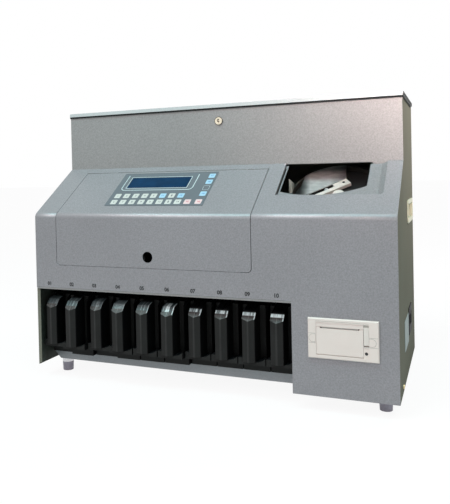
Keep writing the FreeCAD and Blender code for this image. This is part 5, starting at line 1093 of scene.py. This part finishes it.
# Round caps cut off flat beside the field cover the bezel's two screws, each on a small plate between
# two fine joints. A dark line and a ledge lie below the lever, and a ticket waits behind the door's edge.
JOINT_TONE = (0.40, 0.375, 0.335)
SLOT_TONE = (0.42, 0.39, 0.35)
SLOT_DARK = (0.075, 0.060, 0.050)
PAPER_WHITE = (0.80, 0.79, 0.77)
CAP_RADIUS, CAP_LENGTH, CAP_RISE, CAP_RIM = 6.0, 4.5, 0.5, 0.25
FIELD_LEFT, FIELD_RIGHT = 12.4, 95.9
BEZEL_BORDER = 1.2
LEFT_CAP_UP, RIGHT_CAP_UP = 32.6, 31.2
CAP_JOINTS = (-7.6, 7.6)
JOINT, JOINT_PROUD = 0.55, 0.06
FIELD_JOINT, FIELD_JOINT_AT = 83, (54, 60.4)
SLOT_PLAY, SLOT_FLOOR = 0.4, (4.4, 1, 0.3, 0.1)
SLOT_FLOOR_ABOVE, SLOT_FLOOR_DEEP = 1.8, 2.2
FOOT_LINE, FOOT_LINE_BELOW = (1.0, 0.5, 0.1, 0.05), 0.95
LEDGE, LEDGE_BELOW = (1.5, 0.9, 0.2, 0.3), 2.3
LEDGE_DEEP = 0.85
BUTTON_RIM, BUTTON_RIM_DEEP = (4.9, 4.9, 0.7, 2.4, 0.25), 0.8
TICKET = (57.5, 9, 0.12, 0.4, 0.03)
TICKET_BEHIND, TICKET_BELOW = 4.2, 5.1

bezel_low, bezel_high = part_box("printer_bezel")
bezel_width = (bezel_high.x - bezel_low.x) / MM
joint_shadow = mould("printer_joint", JOINT_TONE, 0.6, mottle=0.02)


def on_bezel(across, up, proud=0.0):
    """A place on the bezel's front, across and up from its lower left corner, in millimetres."""
    spot = bezel_low + Vector((across, -proud, up)) * MM
    return Matrix.Translation(spot) @ facing_front


def half_cap(name, radius, rise, rim):
    """A flat tongue with one round end, a softened rim and its flat end towards the right."""
    bpy.ops.object.select_all(action="DESELECT")
    bpy.ops.mesh.primitive_circle_add(vertices=40, radius=radius * MM, fill_type="NGON")
    cap = open_piece(name)
    bpy.ops.mesh.bisect(plane_co=(0, 0, 0), plane_no=RIGHTWARD, clear_outer=True)
    pick(cap, lambda spot: abs(spot.x) < 0.01 * MM)
    bpy.ops.transform.translate(value=(CAP_LENGTH * MM, 0, 0))
    bpy.ops.mesh.select_all(action="SELECT")
    extrude(0, 0, rise)
    if rim:
        bpy.ops.mesh.bevel(offset=rim * MM, segments=2)
    close_piece()
    return cap


def joint_line(name, length):
    """A fine joint moulded in the bezel."""
    return rounded_tile(name, length, JOINT, JOINT_PROUD, *JOINT_ROUND)


CAPS = {"left": (FIELD_LEFT - CAP_LENGTH, LEFT_CAP_UP, 0, (BEZEL_BORDER, FIELD_LEFT)),
        "right": (FIELD_RIGHT + CAP_LENGTH, RIGHT_CAP_UP, 180, (FIELD_RIGHT, bezel_width - BEZEL_BORDER))}
for side, (across, up, turn, (joint_start, joint_end)) in CAPS.items():
    cap_spot = on_bezel(across, up) @ Matrix.Rotation(math.radians(turn), 4, "Z")
    ring = half_cap(f"{side}_cap_joint", CAP_RADIUS + JOINT, JOINT_PROUD, 0)
    seat(ring, joint_shadow, "cabinet", cap_spot)
    cap = half_cap(f"{side}_screw_cap", CAP_RADIUS, CAP_RISE, CAP_RIM)
    seat(cap, ivory, "cabinet", cap_spot)
    for number, offset in enumerate(CAP_JOINTS, start=1):
        line = joint_line(f"{side}_plate_joint_{number}", joint_end - joint_start)
        spot = on_bezel((joint_start + joint_end) / 2, up + offset)
        seat(line, joint_shadow, "cabinet", spot)
field_line = joint_line("field_joint", FIELD_JOINT)
seat(field_line, joint_shadow, "cabinet", on_bezel(*FIELD_JOINT_AT))

lever_low, lever_high = ((corner - bezel_low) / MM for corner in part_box("printer_lever"))
slot_middle, slot_width = (lever_low.x + lever_high.x) / 2, lever_high.x - lever_low.x
slot_floor = rounded_tile("lever_slot_floor", slot_width - SLOT_PLAY, *SLOT_FLOOR)
seat(slot_floor, mould("lever_slot", SLOT_TONE, 0.6), "cabinet",
     on_bezel(slot_middle, lever_high.z + SLOT_FLOOR_ABOVE, -SLOT_FLOOR_DEEP))
dark_line = rounded_tile("lever_foot_shadow", slot_width, *FOOT_LINE)
seat(dark_line, mould("slot_brown", SLOT_DARK, 0.6), "cabinet",
     on_bezel(slot_middle, lever_low.z - FOOT_LINE_BELOW, -LEDGE_DEEP))
ledge = rounded_tile("lever_foot_ledge", slot_width, *LEDGE)
seat(ledge, ivory, "cabinet",
     on_bezel(slot_middle, lever_low.z - LEDGE_BELOW, -LEDGE_DEEP))
button_middle = (sum(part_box("feed_button"), Vector()) / 2 - bezel_low) / MM
button_rim = rounded_frame("feed_button_rim", *BUTTON_RIM)
seat(button_rim, printer_black, "cabinet",
     on_bezel(button_middle.x, button_middle.z, -BUTTON_RIM_DEEP))

door_low, door_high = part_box("printer_door")
ticket = rounded_tile("ticket_edge", *TICKET)
ticket_spot = Vector(((door_low.x + door_high.x) / 2, door_low.y + TICKET_BEHIND * MM,
                      door_high.z - TICKET_BELOW * MM))
seat(ticket, mould("ticket_paper", PAPER_WHITE, 0.7, mottle=0.01), "cabinet",
     Matrix.Translation(ticket_spot) @ facing_front)
